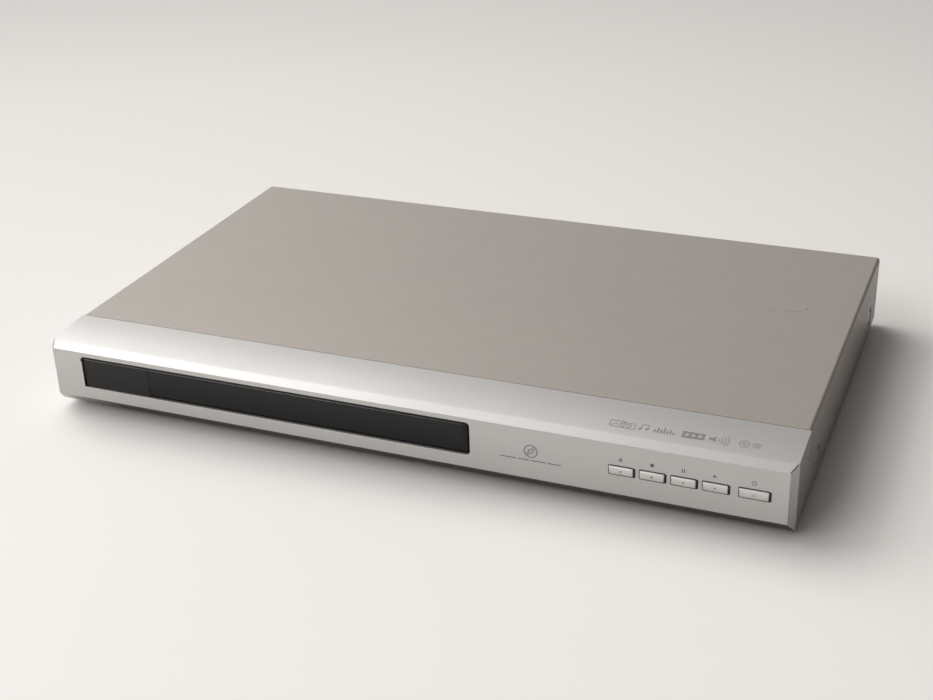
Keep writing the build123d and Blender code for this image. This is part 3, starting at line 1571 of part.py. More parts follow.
with BuildPart() as mains_inlet:
    with BuildSketch(facing(back_y)):
        with Locations((inlet_x, inlet_z)):
            SlotCenterToCenter(inlet_pitch, 2 * inlet_body_radius)
    extrude(amount=inlet_depth)
    with BuildSketch(facing(back_y)):
        with Locations((inlet_x - inlet_pitch / 2, inlet_z), (inlet_x + inlet_pitch / 2, inlet_z)):
            Circle(inlet_lobe_radius)
        with Locations((inlet_x, inlet_z)):
            Rectangle(inlet_pitch, 2 * inlet_waist)
    extrude(amount=inlet_mouth, mode=Mode.SUBTRACT)
mains_inlet.part.label = "mains_inlet"
export_step(mains_inlet.part, "parts/mains_inlet.step")

with BuildPart() as inlet_pins:
    with BuildSketch(facing(back_y - 2 * sheet)):
        with Locations((inlet_x - inlet_pitch / 2, inlet_z), (inlet_x + inlet_pitch / 2, inlet_z)):
            Circle(inlet_pin_radius)
    extrude(amount=inlet_mouth - 2 * sheet)
    chamfer(edges().group_by(Axis.Y)[-1], inlet_pin_radius / 2)
inlet_pins.part.label = "inlet_pins"
export_step(inlet_pins.part, "parts/inlet_pins.step")

# ---- Ribbon from the button board to the main board ----

socket_y = front_board_y + board
socket_z = floor_z + ribbon_lift + 2 * connector_height
main_socket_y = main_board_y - main_board_depth / 2 + gear_module
with BuildPart() as ribbon_sockets:
    with BuildSketch(facing(socket_y + connector_depth)):
        with Locations((ribbon_x, socket_z)):
            Rectangle(ribbon_width + 2, connector_height)
    extrude(amount=connector_depth)
    with BuildSketch(level(board_top)):
        with Locations((ribbon_x, main_socket_y + connector_depth / 2)):
            Rectangle(ribbon_width + 2, connector_depth)
    extrude(amount=connector_height)
ribbon_sockets.part.label = "ribbon_sockets"
export_step(ribbon_sockets.part, "parts/ribbon_sockets.step")

with BuildPart() as front_ribbon:
    ribbon_floor_z = floor_z + ribbon_lift
    entry_z = board_top + connector_height / 2
    with BuildLine(side_on(ribbon_x)) as ribbon_path:
        FilletPolyline(
            (socket_y + connector_depth, socket_z),
            (socket_y + 3 * connector_depth, socket_z),
            (socket_y + 5 * connector_depth, ribbon_floor_z),
            (main_socket_y - 5 * connector_depth, ribbon_floor_z),
            (main_socket_y - 2 * connector_depth, entry_z),
            (main_socket_y, entry_z),
            radius=ribbon_bend,
        )
    with BuildSketch(facing(socket_y + connector_depth)):
        with Locations((ribbon_x, socket_z)):
            Rectangle(ribbon_width, ribbon_thickness)
    sweep(path=ribbon_path.line)
front_ribbon.part.label = "front_ribbon"
export_step(front_ribbon.part, "parts/front_ribbon.step")
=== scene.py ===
import json
import math

import bpy
import numpy as np
from mathutils import Matrix, Vector


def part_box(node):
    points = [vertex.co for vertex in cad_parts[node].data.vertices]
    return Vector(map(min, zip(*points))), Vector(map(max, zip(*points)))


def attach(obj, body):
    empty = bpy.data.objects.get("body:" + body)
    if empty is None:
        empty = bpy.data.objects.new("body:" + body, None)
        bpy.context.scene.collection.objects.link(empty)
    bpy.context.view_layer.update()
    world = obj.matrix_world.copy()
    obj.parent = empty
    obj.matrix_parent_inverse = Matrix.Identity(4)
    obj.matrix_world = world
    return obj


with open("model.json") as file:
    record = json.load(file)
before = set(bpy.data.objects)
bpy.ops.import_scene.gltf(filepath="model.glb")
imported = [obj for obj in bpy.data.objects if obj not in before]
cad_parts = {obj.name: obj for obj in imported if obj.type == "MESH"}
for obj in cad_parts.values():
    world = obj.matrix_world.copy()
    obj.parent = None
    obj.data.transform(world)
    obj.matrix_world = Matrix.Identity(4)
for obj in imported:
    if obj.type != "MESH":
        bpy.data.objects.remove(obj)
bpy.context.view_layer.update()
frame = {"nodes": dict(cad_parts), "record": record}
nodes = frame["nodes"]
mm = 0.001


# a colour as it shows on screen, 0 to 255, turned into the linear one that shaders take
def tone(red, green, blue):
    share = np.array([red, green, blue]) / 255
    linear = np.where(share <= 0.04045, share / 12.92, ((share + 0.055) / 1.055) ** 2.4)
    return (*linear.tolist(), 1.0)


# the camera, from the eight corners of the case in the picture; its place is in millimetres
view = {
    "lens": 57.74,
    "sensor": 36,
    "clip": (0.01, 60),
    "place": (308.34, -758.78, 415.25),
    "ahead": (-0.34773, 0.82529, -0.44494),
    "right": (0.92679, 0.37438, -0.02989),
}


def makeCamera():
    data = bpy.data.cameras.new("pictureCamera")
    data.sensor_width = view["sensor"]
    data.lens = view["lens"]
    data.clip_start, data.clip_end = view["clip"]
    camera = bpy.data.objects.new("pictureCamera", data)
    bpy.context.scene.collection.objects.link(camera)
    ahead = Vector(view["ahead"]).normalized()
    right = Vector(view["right"])
    right = (right - ahead * right.dot(ahead)).normalized()
    camera.matrix_world = Matrix((right, right.cross(ahead), -ahead)).transposed().to_4x4()
    camera.location = Vector(view["place"]) * mm
    bpy.context.scene.camera = camera


makeCamera()
print("camera placed")


# one shader node with its settings; a socket takes a number, a colour or another node's output
def put(tree, kind, sockets=None, **settings):
    node = tree.nodes.new(kind if kind.startswith("NodeGroup") else "ShaderNode" + kind)
    for name, value in settings.items():
        setattr(node, name, value)
    for name, value in (sockets or {}).items():
        if isinstance(value, bpy.types.NodeSocket):
            tree.links.new(value, node.inputs[name])
        else:
            node.inputs[name].default_value = value
    return node


def calc(tree, operation, *values):
    return put(tree, "Math", dict(enumerate(values)), operation=operation).outputs[0]


# 0 below low and 1 above high, or the other way round where low is the larger
def between(tree, value, low, high):
    sockets = {"Value": value, "From Min": low, "From Max": high}
    return put(tree, "MapRange", sockets).outputs[0]


# 0 to 1 spread over low to high
def spread(tree, value, low, high):
    sockets = {"Value": value, "To Min": low, "To Max": high}
    return put(tree, "MapRange", sockets).outputs[0]


def mixColour(tree, share, first, second):
    return put(tree, "Mix", {0: share, 6: first, 7: second}, data_type="RGBA").outputs[2]


def onObject(tree):
    return put(tree, "TexCoord").outputs["Object"]


# the place on the object along one axis, in metres
def placeOn(tree, axis):
    return put(tree, "SeparateXYZ", {0: onObject(tree)}).outputs[axis]


# how far the surface faces along an axis, from -1 to 1
def facing(tree, axis, kind="Normal"):
    return put(tree, "SeparateXYZ", {0: put(tree, "NewGeometry").outputs[kind]}).outputs[axis]


# soft noise that is fixed to the object
def cloudOn(tree, scale, detail, **sockets):
    sockets.update({"Vector": onObject(tree), "Scale": scale, "Detail": detail})
    return put(tree, "TexNoise", sockets).outputs[0]


def newGroup(name, inputs, outputs):
    tree = bpy.data.node_groups.new(name, "ShaderNodeTree")
    for label, value in inputs.items():
        kind = "NodeSocketVector" if isinstance(value, tuple) else "NodeSocketFloat"
        socket = tree.interface.new_socket(label, in_out="INPUT", socket_type=kind)
        socket.default_value = value
    for label, kind in outputs.items():
        tree.interface.new_socket(label, in_out="OUTPUT", socket_type="NodeSocket" + kind)
    return tree, put(tree, "NodeGroupInput").outputs


# where the shared masks start and end, and the scales of what breaks them up
masks = {
    "edgeTurn": (0.995, 0.86),  # cosine between the flat normal and the rounded one
    "edgePatches": (0.35, 0.65),
    "dustUp": (0.5, 0.95),
    "dustDrift": (0.3, 0.75),
    "dustSpecks": (0.42, 0.7),
    "speckScale": 2600,
    "scratchStretch": (1, 14, 14),
    "scratchLine": (0.02, 0.0),
    "scratchClouds": 42,
}


# rounded edges for the light, and a mask that is 1 where paint or plating rubs off an edge
def makeEdgeGroup():
    inputs = {"Radius": 0.0003, "Breakup": 400.0}
    tree, given = newGroup("rubbedEdges", inputs, {"Mask": "Float", "Normal": "Vector"})
    rounded = put(tree, "Bevel", {"Radius": given["Radius"]}, samples=4).outputs[0]
    flat = put(tree, "NewGeometry").outputs["Normal"]
    turn = put(tree, "VectorMath", {0: rounded, 1: flat}, operation="DOT_PRODUCT").outputs["Value"]
    patches = between(tree, cloudOn(tree, given["Breakup"], 3), *masks["edgePatches"])
    mask = calc(tree, "MULTIPLY", between(tree, turn, *masks["edgeTurn"]), patches)
    put(tree, "NodeGroupOutput", {"Mask": mask, "Normal": rounded})
    return tree


# fine texture of a paint, a mould or a brush; Stretch draws it out along an axis
def makeGrainGroup():
    tree, given = newGroup("grain", {"Scale": 1500.0, "Stretch": (1.0, 1.0, 1.0)}, {"Height": "Float"})
    drawn = put(tree, "VectorMath", {0: onObject(tree), 1: given["Stretch"]}, operation="MULTIPLY").outputs[0]
    height = put(tree, "TexNoise", {"Vector": drawn, "Scale": given["Scale"], "Detail": 2}).outputs[0]
    put(tree, "NodeGroupOutput", {"Height": height})
    return tree


# large soft clouds where hands and cloths have been
def makeSmudgeGroup():
    tree, given = newGroup("smudges", {"Scale": 12.0, "Low": 0.25, "High": 0.75}, {"Mask": "Float"})
    cloud = cloudOn(tree, given["Scale"], 2.5, Distortion=0.2)
    put(tree, "NodeGroupOutput", {"Mask": between(tree, cloud, given["Low"], given["High"])})
    return tree


# dust settles on what faces up, more in some places than in others
def makeDustGroup():
    tree, given = newGroup("dust", {"Amount": 0.3, "Scale": 30.0}, {"Mask": "Float"})
    up = between(tree, facing(tree, "Z"), *masks["dustUp"])
    drift = between(tree, cloudOn(tree, given["Scale"], 3), *masks["dustDrift"])
    specks = between(tree, cloudOn(tree, masks["speckScale"], 1), *masks["dustSpecks"])
    mask = calc(tree, "MULTIPLY", calc(tree, "MULTIPLY", drift, specks), up)
    put(tree, "NodeGroupOutput", {"Mask": calc(tree, "MULTIPLY", mask, given["Amount"])})
    return tree


# short thin scratches, all about one way, only where a coarse cloud lets them through
def makeScratchGroup():
    inputs = {"Turn": (0.0, 0.0, 0.6), "Scale": 90.0, "Share": 0.62}
    tree, given = newGroup("scratches", inputs, {"Mask": "Float"})
    sockets = {"Vector": onObject(tree), "Rotation": given["Turn"]}
    turned = put(tree, "VectorRotate", sockets, rotation_type="EULER_XYZ").outputs[0]
    drawn = put(tree, "VectorMath", {0: turned, 1: masks["scratchStretch"]}, operation="MULTIPLY").outputs[0]
    sockets = {"Vector": drawn, "Scale": given["Scale"]}
    line = put(tree, "TexVoronoi", sockets, feature="DISTANCE_TO_EDGE").outputs[0]
    allowed = calc(tree, "GREATER_THAN", cloudOn(tree, masks["scratchClouds"], 2), given["Share"])
    mask = calc(tree, "MULTIPLY", between(tree, line, *masks["scratchLine"]), allowed)
    put(tree, "NodeGroupOutput", {"Mask": mask})
    return tree


# metal flakes in a paint, each a little paler than what is round it
def makeFlakeGroup():
    inputs = {"Scale": 4000.0, "Low": 0.6, "High": 0.8, "Share": 0.2}
    tree, given = newGroup("flakes", inputs, {"Mask": "Float"})
    flakes = between(tree, cloudOn(tree, given["Scale"], 1), given["Low"], given["High"])
    put(tree, "NodeGroupOutput", {"Mask": calc(tree, "MULTIPLY", flakes, given["Share"])})
    return tree


# what faces left or right, coloured darker as painted shade
def makeSideShadeGroup():
    tree, given = newGroup("sides", {"Start": 0.3, "End": 0.6}, {"Mask": "Float"})
    across = calc(tree, "ABSOLUTE", facing(tree, "X", "True Normal"))
    put(tree, "NodeGroupOutput", {"Mask": between(tree, across, given["Start"], given["End"])})
    return tree


groups = {
    "edges": makeEdgeGroup(),
    "grain": makeGrainGroup(),
    "smudges": makeSmudgeGroup(),
    "dust": makeDustGroup(),
    "scratches": makeScratchGroup(),
    "flakes": makeFlakeGroup(),
    "sides": makeSideShadeGroup(),
}


def useGroup(tree, name, **values):
    node = put(tree, "Group", node_tree=groups[name])
    for label, value in values.items():
        node.inputs[label.capitalize()].default_value = value
    return node.outputs


# What every finish starts from. tint and shade are its two colours, rough its range of roughness,
# grain the scale of its texture and depth how deep that is, in metres.
usual = {
    "tint": (120, 120, 120),
    "shade": (110, 110, 110),
    "rough": (0.4, 0.5),
    "metal": 0.0,
    "smudge": 14.0,
    "grain": 1500.0,
    "stretch": (1.0, 1.0, 1.0),
    "depth": 0.00001,
    "round": 0.00025,
    "wear": 0.3,
    "worn": (150, 150, 150),
    "dust": 0.15,
    "dusty": (176, 172, 166),
    "dustRough": 0.4,
    "scratch": 0.0,
    "scratched": (200, 200, 198),
    "scratchShare": 0.6,
    "fold": None,
}


# turns a crease along X, at fold's y and above its z, into a wide soft bend
def softenFold(tree, normal, fold):
    place = put(tree, "SeparateXYZ", {0: onObject(tree)}).outputs
    wide = put(tree, "Bevel", {"Radius": fold["radius"]}, samples=6).outputs[0]
    behind = calc(tree, "SUBTRACT", place["Y"], fold["y"])
    across = calc(tree, "ABSOLUTE", place["X"])
    near = calc(tree, "MULTIPLY", between(tree, behind, *fold["front"]), between(tree, behind, *fold["back"]))
    near = calc(tree, "MULTIPLY", near, calc(tree, "GREATER_THAN", place["Z"], fold["z"]))
    near = calc(tree, "MULTIPLY", near, between(tree, across, *fold["ends"]))
    return put(tree, "Mix", {0: near, 4: normal, 5: wide}, data_type="VECTOR").outputs[1]


def makeFinish(name, look, pattern=None, **sockets):
    look = {**usual, **look}
    material = bpy.data.materials.new(name)
    material.use_nodes = True
    tree = material.node_tree
    tree.nodes.clear()
    cloud = useGroup(tree, "smudges", scale=look["smudge"])["Mask"]
    height = useGroup(tree, "grain", scale=look["grain"], stretch=look["stretch"])["Height"]
    edge = useGroup(tree, "edges", radius=look["round"])
    dust = useGroup(tree, "dust", amount=look["dust"])["Mask"]
    colour = mixColour(tree, cloud, tone(*look["tint"]), tone(*look["shade"]))
    rough = spread(tree, cloud, *look["rough"])
    if pattern:
        colour, rough, height = pattern(tree, colour, rough, height)
    if look["scratch"]:
        scratch = useGroup(tree, "scratches", share=look["scratch"])["Mask"]
        scratch = calc(tree, "MULTIPLY", scratch, look["scratchShare"])
        colour = mixColour(tree, scratch, colour, tone(*look["scratched"]))
    colour = mixColour(tree, calc(tree, "MULTIPLY", edge["Mask"], look["wear"]), colour, tone(*look["worn"]))
    colour = mixColour(tree, dust, colour, tone(*look["dusty"]))
    rough = calc(tree, "ADD", rough, calc(tree, "MULTIPLY", dust, look["dustRough"]))
    normal = softenFold(tree, edge["Normal"], look["fold"]) if look["fold"] else edge["Normal"]
    bump = {"Height": height, "Distance": look["depth"], "Strength": 1.0, "Normal": normal}
    sockets = {label.replace("_", " "): value for label, value in sockets.items()}
    sockets.update({"Metallic": look["metal"], "Base Color": colour, "Roughness": rough})
    sockets["Normal"] = put(tree, "Bump", bump).outputs[0]
    shader = put(tree, "BsdfPrincipled", sockets)
    put(tree, "OutputMaterial", {"Surface": shader.outputs[0]})
    return material


# sprayed sheet steel of the cover
coverLook = {
    "tint": (175, 167, 160),
    "shade": (169, 161, 154),
    "rough": (0.38, 0.48),
    "metal": 0.5,
    "smudge": 7.0,
    "grain": 2400.0,
    "depth": 0.00002,
    "wear": 0.35,
    "worn": (205, 200, 194),
    "dust": 0.10,
}
coverPaint = {
    # painted shade: the cover's left and right sides are coloured darker
    "side": (126, 120, 115),
    "sides": {"start": 0.3, "end": 0.6},
    "mottle": (158, 152, 146),
    "mottleScale": 120,
    "mottleShare": 0.5,
    "flake": (214, 208, 201),
    "flakes": {"scale": 3800, "low": 0.62, "high": 0.8, "share": 0.18},
}


def coverPattern(tree, colour, rough, height):
    # painted shade on the sides; the mottle and the flakes are the paint's own
    sides = useGroup(tree, "sides", **coverPaint["sides"])["Mask"]
    mottle = spread(tree, cloudOn(tree, coverPaint["mottleScale"], 4), 0.0, coverPaint["mottleShare"])
    flakes = useGroup(tree, "flakes", **coverPaint["flakes"])["Mask"]
    for mask, name in ((sides, "side"), (mottle, "mottle"), (flakes, "flake")):
        colour = mixColour(tree, mask, colour, tone(*coverPaint[name]))
    return colour, rough, height


# silver lacquer over moulded plastic; what faces down is coloured dark grey, painted shade
bezelLook = {
    "tint": (185, 183, 181),
    "shade": (180, 178, 176),
    "rough": (0.40, 0.46),
    "metal": 0.7,
    "smudge": 9.0,
    "grain": 2600.0,
    "depth": 0.000012,
    "round": 0.0004,
    "wear": 0.45,
    "worn": (226, 225, 223),
    "dust": 0.06,
    "fold": {
        "y": -131.25 * mm,
        "z": 40.6 * mm,
        "radius": 2.5 * mm,
        "front": (-2.6 * mm, -1.6 * mm),  # the bend fades in and out over these, from the crease
        "back": (3.2 * mm, 2.0 * mm),
        "ends": (207 * mm, 203 * mm),  # and out towards the left and right ends
    },
}
buttonLook = {
    **bezelLook,
    "tint": (207, 205, 202),
    "shade": (200, 198, 195),
    "rough": (0.26, 0.32),
    "metal": 0.6,
    "round": 0.00035,
    "wear": 0.6,
    "worn": (238, 237, 235),
    "fold": None,
}
bezelPaint = {
    # painted light: the front is coloured paler, most at its top and its left
    "face": (203, 201, 199),
    "litFaceTurn": (-0.9, -0.98),
    "litFaceShares": (0.18, 0.7),  # of that paler colour, a painted highlight, at the foot of the face and near its top
    "litFaceEnds": (-215 * mm, 215 * mm),
    "litFaceSlope": (1.2, 0.75),  # what those shares are multiplied by at the left end and the right end
    "flake": (222, 221, 219),
    "flakes": {"scale": 5200, "low": 0.6, "high": 0.78, "share": 0.2},
    # painted shade: the sides and the corner bevels are coloured darker
    "side": (136, 134, 132),
    "sides": {"start": 0.94, "end": 0.99},
    # painted shade: what faces down is coloured dark grey
    "underShade": (58, 56, 54),
    "underShadeTurn": (-0.35, -0.6),
    "underShadeStart": (-212 * mm, -172 * mm),  # the painted shade underneath fades in from the left end
}


# two masks of painted light on the bezel, by the way it faces: a painted highlight on the front, mostly its
# top and its left, and painted shade on what faces down
def makeBezelLightGroup():
    inputs = {"Low": 10 * mm, "High": 34 * mm}
    tree, given = newGroup("bezelLightAndShade", inputs, {"LitFace": "Float", "UnderShade": "Float"})
    along = placeOn(tree, "X")
    share = between(tree, placeOn(tree, "Z"), given["Low"], given["High"])
    share = spread(tree, share, *bezelPaint["litFaceShares"])
    slope = spread(tree, between(tree, along, *bezelPaint["litFaceEnds"]), *bezelPaint["litFaceSlope"])
    face = between(tree, facing(tree, "Y", "True Normal"), *bezelPaint["litFaceTurn"])
    face = calc(tree, "MULTIPLY", face, calc(tree, "MULTIPLY", share, slope))
    underShade = between(tree, facing(tree, "Z"), *bezelPaint["underShadeTurn"])
    underShade = calc(tree, "MULTIPLY", underShade, between(tree, along, *bezelPaint["underShadeStart"]))
    put(tree, "NodeGroupOutput", {"LitFace": face, "UnderShade": underShade})
    return tree


groups["bezelLightAndShade"] = makeBezelLightGroup()


def bezelPattern(tree, colour, rough, height):
    # painted light on the front and painted shade on the sides and underneath; the flakes are the lacquer's
    # own
    paintedLight = useGroup(tree, "bezelLightAndShade")
    flakes = useGroup(tree, "flakes", **bezelPaint["flakes"])["Mask"]
    sides = useGroup(tree, "sides", **bezelPaint["sides"])["Mask"]
    for mask, name in ((paintedLight["LitFace"], "face"), (flakes, "flake"), (sides, "side"), (paintedLight["UnderShade"], "underShade")):
        colour = mixColour(tree, mask, colour, tone(*bezelPaint[name]))
    return colour, rough, height


# painted light: the caps' fronts are coloured paler towards their tops
capLightAndShade = {
    "low": 22.9 * mm,
    "high": 27.2 * mm,
    "deep": (176, 174, 171),
    "pale": (222, 220, 217),
    "share": 0.8,
}


def capPattern(tree, colour, rough, height):
    colour, rough, height = bezelPattern(tree, colour, rough, height)
    up = between(tree, placeOn(tree, "Z"), capLightAndShade["low"], capLightAndShade["high"])
    paintedGradient = mixColour(tree, up, tone(*capLightAndShade["deep"]), tone(*capLightAndShade["pale"]))
    return mixColour(tree, capLightAndShade["share"], colour, paintedGradient), rough, height


# dark door bar and smoked window
doorLook = {
    "tint": (15, 15, 16),
    "shade": (19, 19, 20),
    "rough": (0.23, 0.28),
    "smudge": 9.0,
    "grain": 1800.0,
    "depth": 0.000004,
    "round": 0.0007,
    "wear": 0.12,
    "worn": (90, 90, 92),
    "dust": 0.10,
}
windowLook = {**doorLook, "rough": (0.13, 0.17)}
# painted light and shade on the door bar and window: a painted reflection, highlight, shadow and shade
bar = {
    "deep": (5, 5, 5),
    "pale": (42, 42, 43),
    "paintedGradient": 0.75,  # share of the colour that runs from deep to pale, a painted reflection
    "rimHighlight": (112, 112, 112),
    "rim": (35.3 * mm, 35.6 * mm),  # the painted highlight line along the top edge starts between these heights
    "faded": (-40 * mm, 46 * mm),  # the stretch over which that line fades
    "strength": (1.0, 0.35),  # before that stretch and after it
    "end": (40.5 * mm, 44.5 * mm),  # painted shade: the right end turns darker
    "endShadeShare": 0.85,
    "shadow": (3, 3, 3),
    "shadowStart": (35.95 * mm, 36.05 * mm),
}


# painted light and shade on the bar: Height grows up the bar, for a painted reflection; the next mask is a
# painted highlight line along its top edge, Shadow the bezel's painted shadow above that, and End painted
# shade at its right end
def makeBarLightGroup():
    inputs = {"Low": 18 * mm, "High": 36 * mm}
    outputs = {"Height": "Float", "RimHighlight": "Float", "Shadow": "Float", "End": "Float"}
    tree, given = newGroup("barLightAndShade", inputs, outputs)
    up, along = placeOn(tree, "Z"), placeOn(tree, "X")
    strong = spread(tree, between(tree, along, *bar["faded"]), *bar["strength"])
    shade = {
        "Height": between(tree, up, given["Low"], given["High"]),
        "RimHighlight": calc(tree, "MULTIPLY", between(tree, up, *bar["rim"]), strong),
        "Shadow": between(tree, up, *bar["shadowStart"]),
        "End": calc(tree, "MULTIPLY", between(tree, along, *bar["end"]), bar["endShadeShare"]),
    }
    put(tree, "NodeGroupOutput", shade)
    return tree


groups["barLightAndShade"] = makeBarLightGroup()


def barPattern(tree, colour, rough, height):
    # painted reflection and highlight, painted shadow and shade, from the masks of the group above
    shade = useGroup(tree, "barLightAndShade")
    paintedGradient = mixColour(tree, shade["Height"], tone(*bar["deep"]), tone(*bar["pale"]))
    colour = mixColour(tree, bar["paintedGradient"], colour, paintedGradient)
    for mask, name in (("RimHighlight", "rimHighlight"), ("End", "deep"), ("Shadow", "shadow")):
        colour = mixColour(tree, shade[mask], colour, tone(*bar[name]))
    return colour, rough, height


# zinc-plated sheet: crystals of slightly different greys
zincLook = {
    "tint": (188, 188, 184),
    "shade": (172, 172, 168),
    "rough": (0.32, 0.48),
    "metal": 1.0,
    "smudge": 10.0,
    "grain": 900.0,
    "stretch": (0.06, 1.0, 1.0),
    "depth": 0.000006,
    "wear": 0.5,
    "worn": (222, 222, 218),
    "dust": 0.12,
    "scratch": 0.6,
}
crystals = {"scale": 210, "grey": (140, 142, 142), "share": 0.35, "rough": (-0.06, 0.08)}


def zincPattern(tree, colour, rough, height):
    sockets = {"Vector": onObject(tree), "Scale": crystals["scale"], "Randomness": 1.0}
    crystal = put(tree, "TexVoronoi", sockets).outputs["Color"]
    grey = put(tree, "SeparateColor", {0: crystal}).outputs[0]
    share = calc(tree, "MULTIPLY", grey, crystals["share"])
    rough = calc(tree, "ADD", rough, spread(tree, grey, *crystals["rough"]))
    return mixColour(tree, share, colour, tone(*crystals["grey"])), rough, height


# turned and drawn steel: screws, rods, motor cans
screwLook = {
    "tint": (176, 174, 170),
    "shade": (160, 158, 152),
    "rough": (0.26, 0.40),
    "metal": 1.0,
    "smudge": 160.0,
    "grain": 3000.0,
    "stretch": (1.0, 1.0, 0.1),
    "depth": 0.000008,
    "wear": 0.6,
    "worn": (220, 218, 214),
}
canLook = {
    **screwLook,
    "tint": (196, 196, 194),
    "shade": (182, 182, 180),
    "rough": (0.22, 0.34),
    "smudge": 60.0,
}

# plastics and rubber
blackLook = {
    "tint": (30, 30, 32),
    "shade": (36, 36, 38),
    "rough": (0.42, 0.58),
    "smudge": 24.0,
    "grain": 1400.0,
    "depth": 0.00003,
    "wear": 0.25,
    "worn": (82, 82, 84),
    "dust": 0.22,
}
rubberLook = {
    **blackLook,
    "tint": (26, 26, 26),
    "shade": (33, 32, 31),
    "rough": (0.68, 0.85),
    "grain": 2200.0,
}
gearLook = {
    **blackLook,
    "tint": (226, 223, 214),
    "shade": (216, 212, 201),
    "rough": (0.34, 0.46),
    "worn": (240, 238, 232),
    "grain": 2000.0,
    "depth": 0.00001,
    "dust": 0.12,
}
lensCoverLook = {
    **blackLook,
    "tint": (74, 75, 78),
    "shade": (66, 67, 70),
    "rough": (0.34, 0.42),
    "worn": (120, 120, 122),
}

# phono jack cores: one colour for each jack, from left to right, and the X at which it ends
coreLook = {**gearLook, "rough": (0.30, 0.40), "dust": 0.08}
coreColours = [
    (70 * mm, (228, 186, 40)),
    (84 * mm, (226, 222, 214)),
    (98 * mm, (186, 36, 34)),
    (120 * mm, (214, 106, 34)),
]


def corePattern(tree, colour, rough, height):
    across = placeOn(tree, "X")
    colour = tone(*coreColours[0][1])
    for (edge, _), (_, following) in zip(coreColours, coreColours[1:]):
        colour = mixColour(tree, calc(tree, "GREATER_THAN", across, edge), colour, tone(*following))
    return colour, rough, height


# flat ribbon: white film over side-by-side conductors
ribbonLook = {
    **gearLook,
    "tint": (222, 221, 217),
    "shade": (214, 213, 208),
    "rough": (0.28, 0.38),
    "dust": 0.1,
}
conductors = {"pitch": 1.25 * mm, "edge": (0.1, 0.7), "grey": (160, 160, 158), "share": 0.4}


def ribbonPattern(tree, colour, rough, height):
    wave = calc(tree, "SINE", calc(tree, "MULTIPLY", placeOn(tree, "X"), 2 * math.pi / conductors["pitch"]))
    mask = calc(tree, "MULTIPLY", between(tree, wave, *conductors["edge"]), conductors["share"])
    return mixColour(tree, mask, colour, tone(*conductors["grey"])), rough, wave


# circuit board: lacquer over copper tracks on a square grid, tinned pads a tenth of an inch apart
boardLook = {
    "tint": (34, 92, 52),
    "shade": (28, 80, 45),
    "rough": (0.30, 0.42),
    "smudge": 18.0,
    "grain": 1200.0,
    "depth": 0.00002,
    "wear": 0.5,
    "worn": (150, 140, 96),
    "dust": 0.25,
}
copper = {
    "cells": 130,
    "track": (66, 138, 74),
    "trackShare": 0.65,
    "trackSides": ((0.16, 0.12), (0.02, 0.05)),
    "pitch": 2.54 * mm,
    "pad": (196, 196, 190),
    "padEdge": (0.27, 0.22),
    "used": (0.52, 0.56),  # only some places on the grid hold a pad
    "usedScale": 75,
    "grainShare": 0.3,
}


def boardPattern(tree, colour, rough, height):
    sockets = {"Vector": onObject(tree), "Scale": copper["cells"]}
    cells = put(tree, "TexVoronoi", sockets, distance="CHEBYCHEV", feature="F2").outputs["Distance"]
    nearest = put(tree, "TexVoronoi", sockets, distance="CHEBYCHEV", feature="F1").outputs["Distance"]
    gap = calc(tree, "SUBTRACT", cells, nearest)
    outer, inner = copper["trackSides"]
    track = calc(tree, "MULTIPLY", between(tree, gap, *outer), between(tree, gap, *inner))
    share = calc(tree, "MULTIPLY", track, copper["trackShare"])
    colour = mixColour(tree, share, colour, tone(*copper["track"]))
    sockets = {"Vector": onObject(tree), "Scale": 1 / copper["pitch"], "Randomness": 0.0}
    grid = put(tree, "TexVoronoi", sockets).outputs["Distance"]
    used = between(tree, cloudOn(tree, copper["usedScale"], 1), *copper["used"])
    pad = calc(tree, "MULTIPLY", between(tree, grid, *copper["padEdge"]), used)
    colour = mixColour(tree, pad, colour, tone(*copper["pad"]))
    grain = calc(tree, "MULTIPLY", height, copper["grainShare"])
    return colour, rough, calc(tree, "ADD", grain, calc(tree, "ADD", track, pad))


# sleeved capacitors: bare top, pale stripe down one side
sleeveLook = {
    **blackLook,
    "tint": (32, 38, 66),
    "shade": (28, 33, 58),
    "rough": (0.22, 0.32),
    "depth": 0.000005,
}
sleeve = {
    "stripe": (186, 188, 192),
    "stripeTurn": (-0.90, -0.93),
    "top": (190, 190, 190),
    "topTurn": (0.7, 0.8),
}


def sleevePattern(tree, colour, rough, height):
    stripe = between(tree, facing(tree, "X"), *sleeve["stripeTurn"])
    colour = mixColour(tree, stripe, colour, tone(*sleeve["stripe"]))
    top = between(tree, facing(tree, "Z"), *sleeve["topTurn"])
    return mixColour(tree, top, colour, tone(*sleeve["top"])), rough, height


heatsinkLook = {
    **screwLook,
    "tint": (206, 207, 209),
    "shade": (194, 195, 198),
    "rough": (0.34, 0.46),
    "grain": 700.0,
    "stretch": (1.0, 0.05, 1.0),
    "smudge": 40.0,
}

# transformer: laminated core, wound middle under yellow tape
transformerLook = {
    **blackLook,
    "tint": (206, 168, 42),
    "shade": (192, 152, 36),
    "rough": (0.26, 0.36),
    "dust": 0.2,
}
laminations = {
    "end": 3.2 * mm,  # how far the core shows at either end of the winding
    "pitch": 0.9 * mm,
    "edge": (-0.4, 0.6),
    "dark": (70, 68, 66),
    "pale": (112, 109, 105),
}


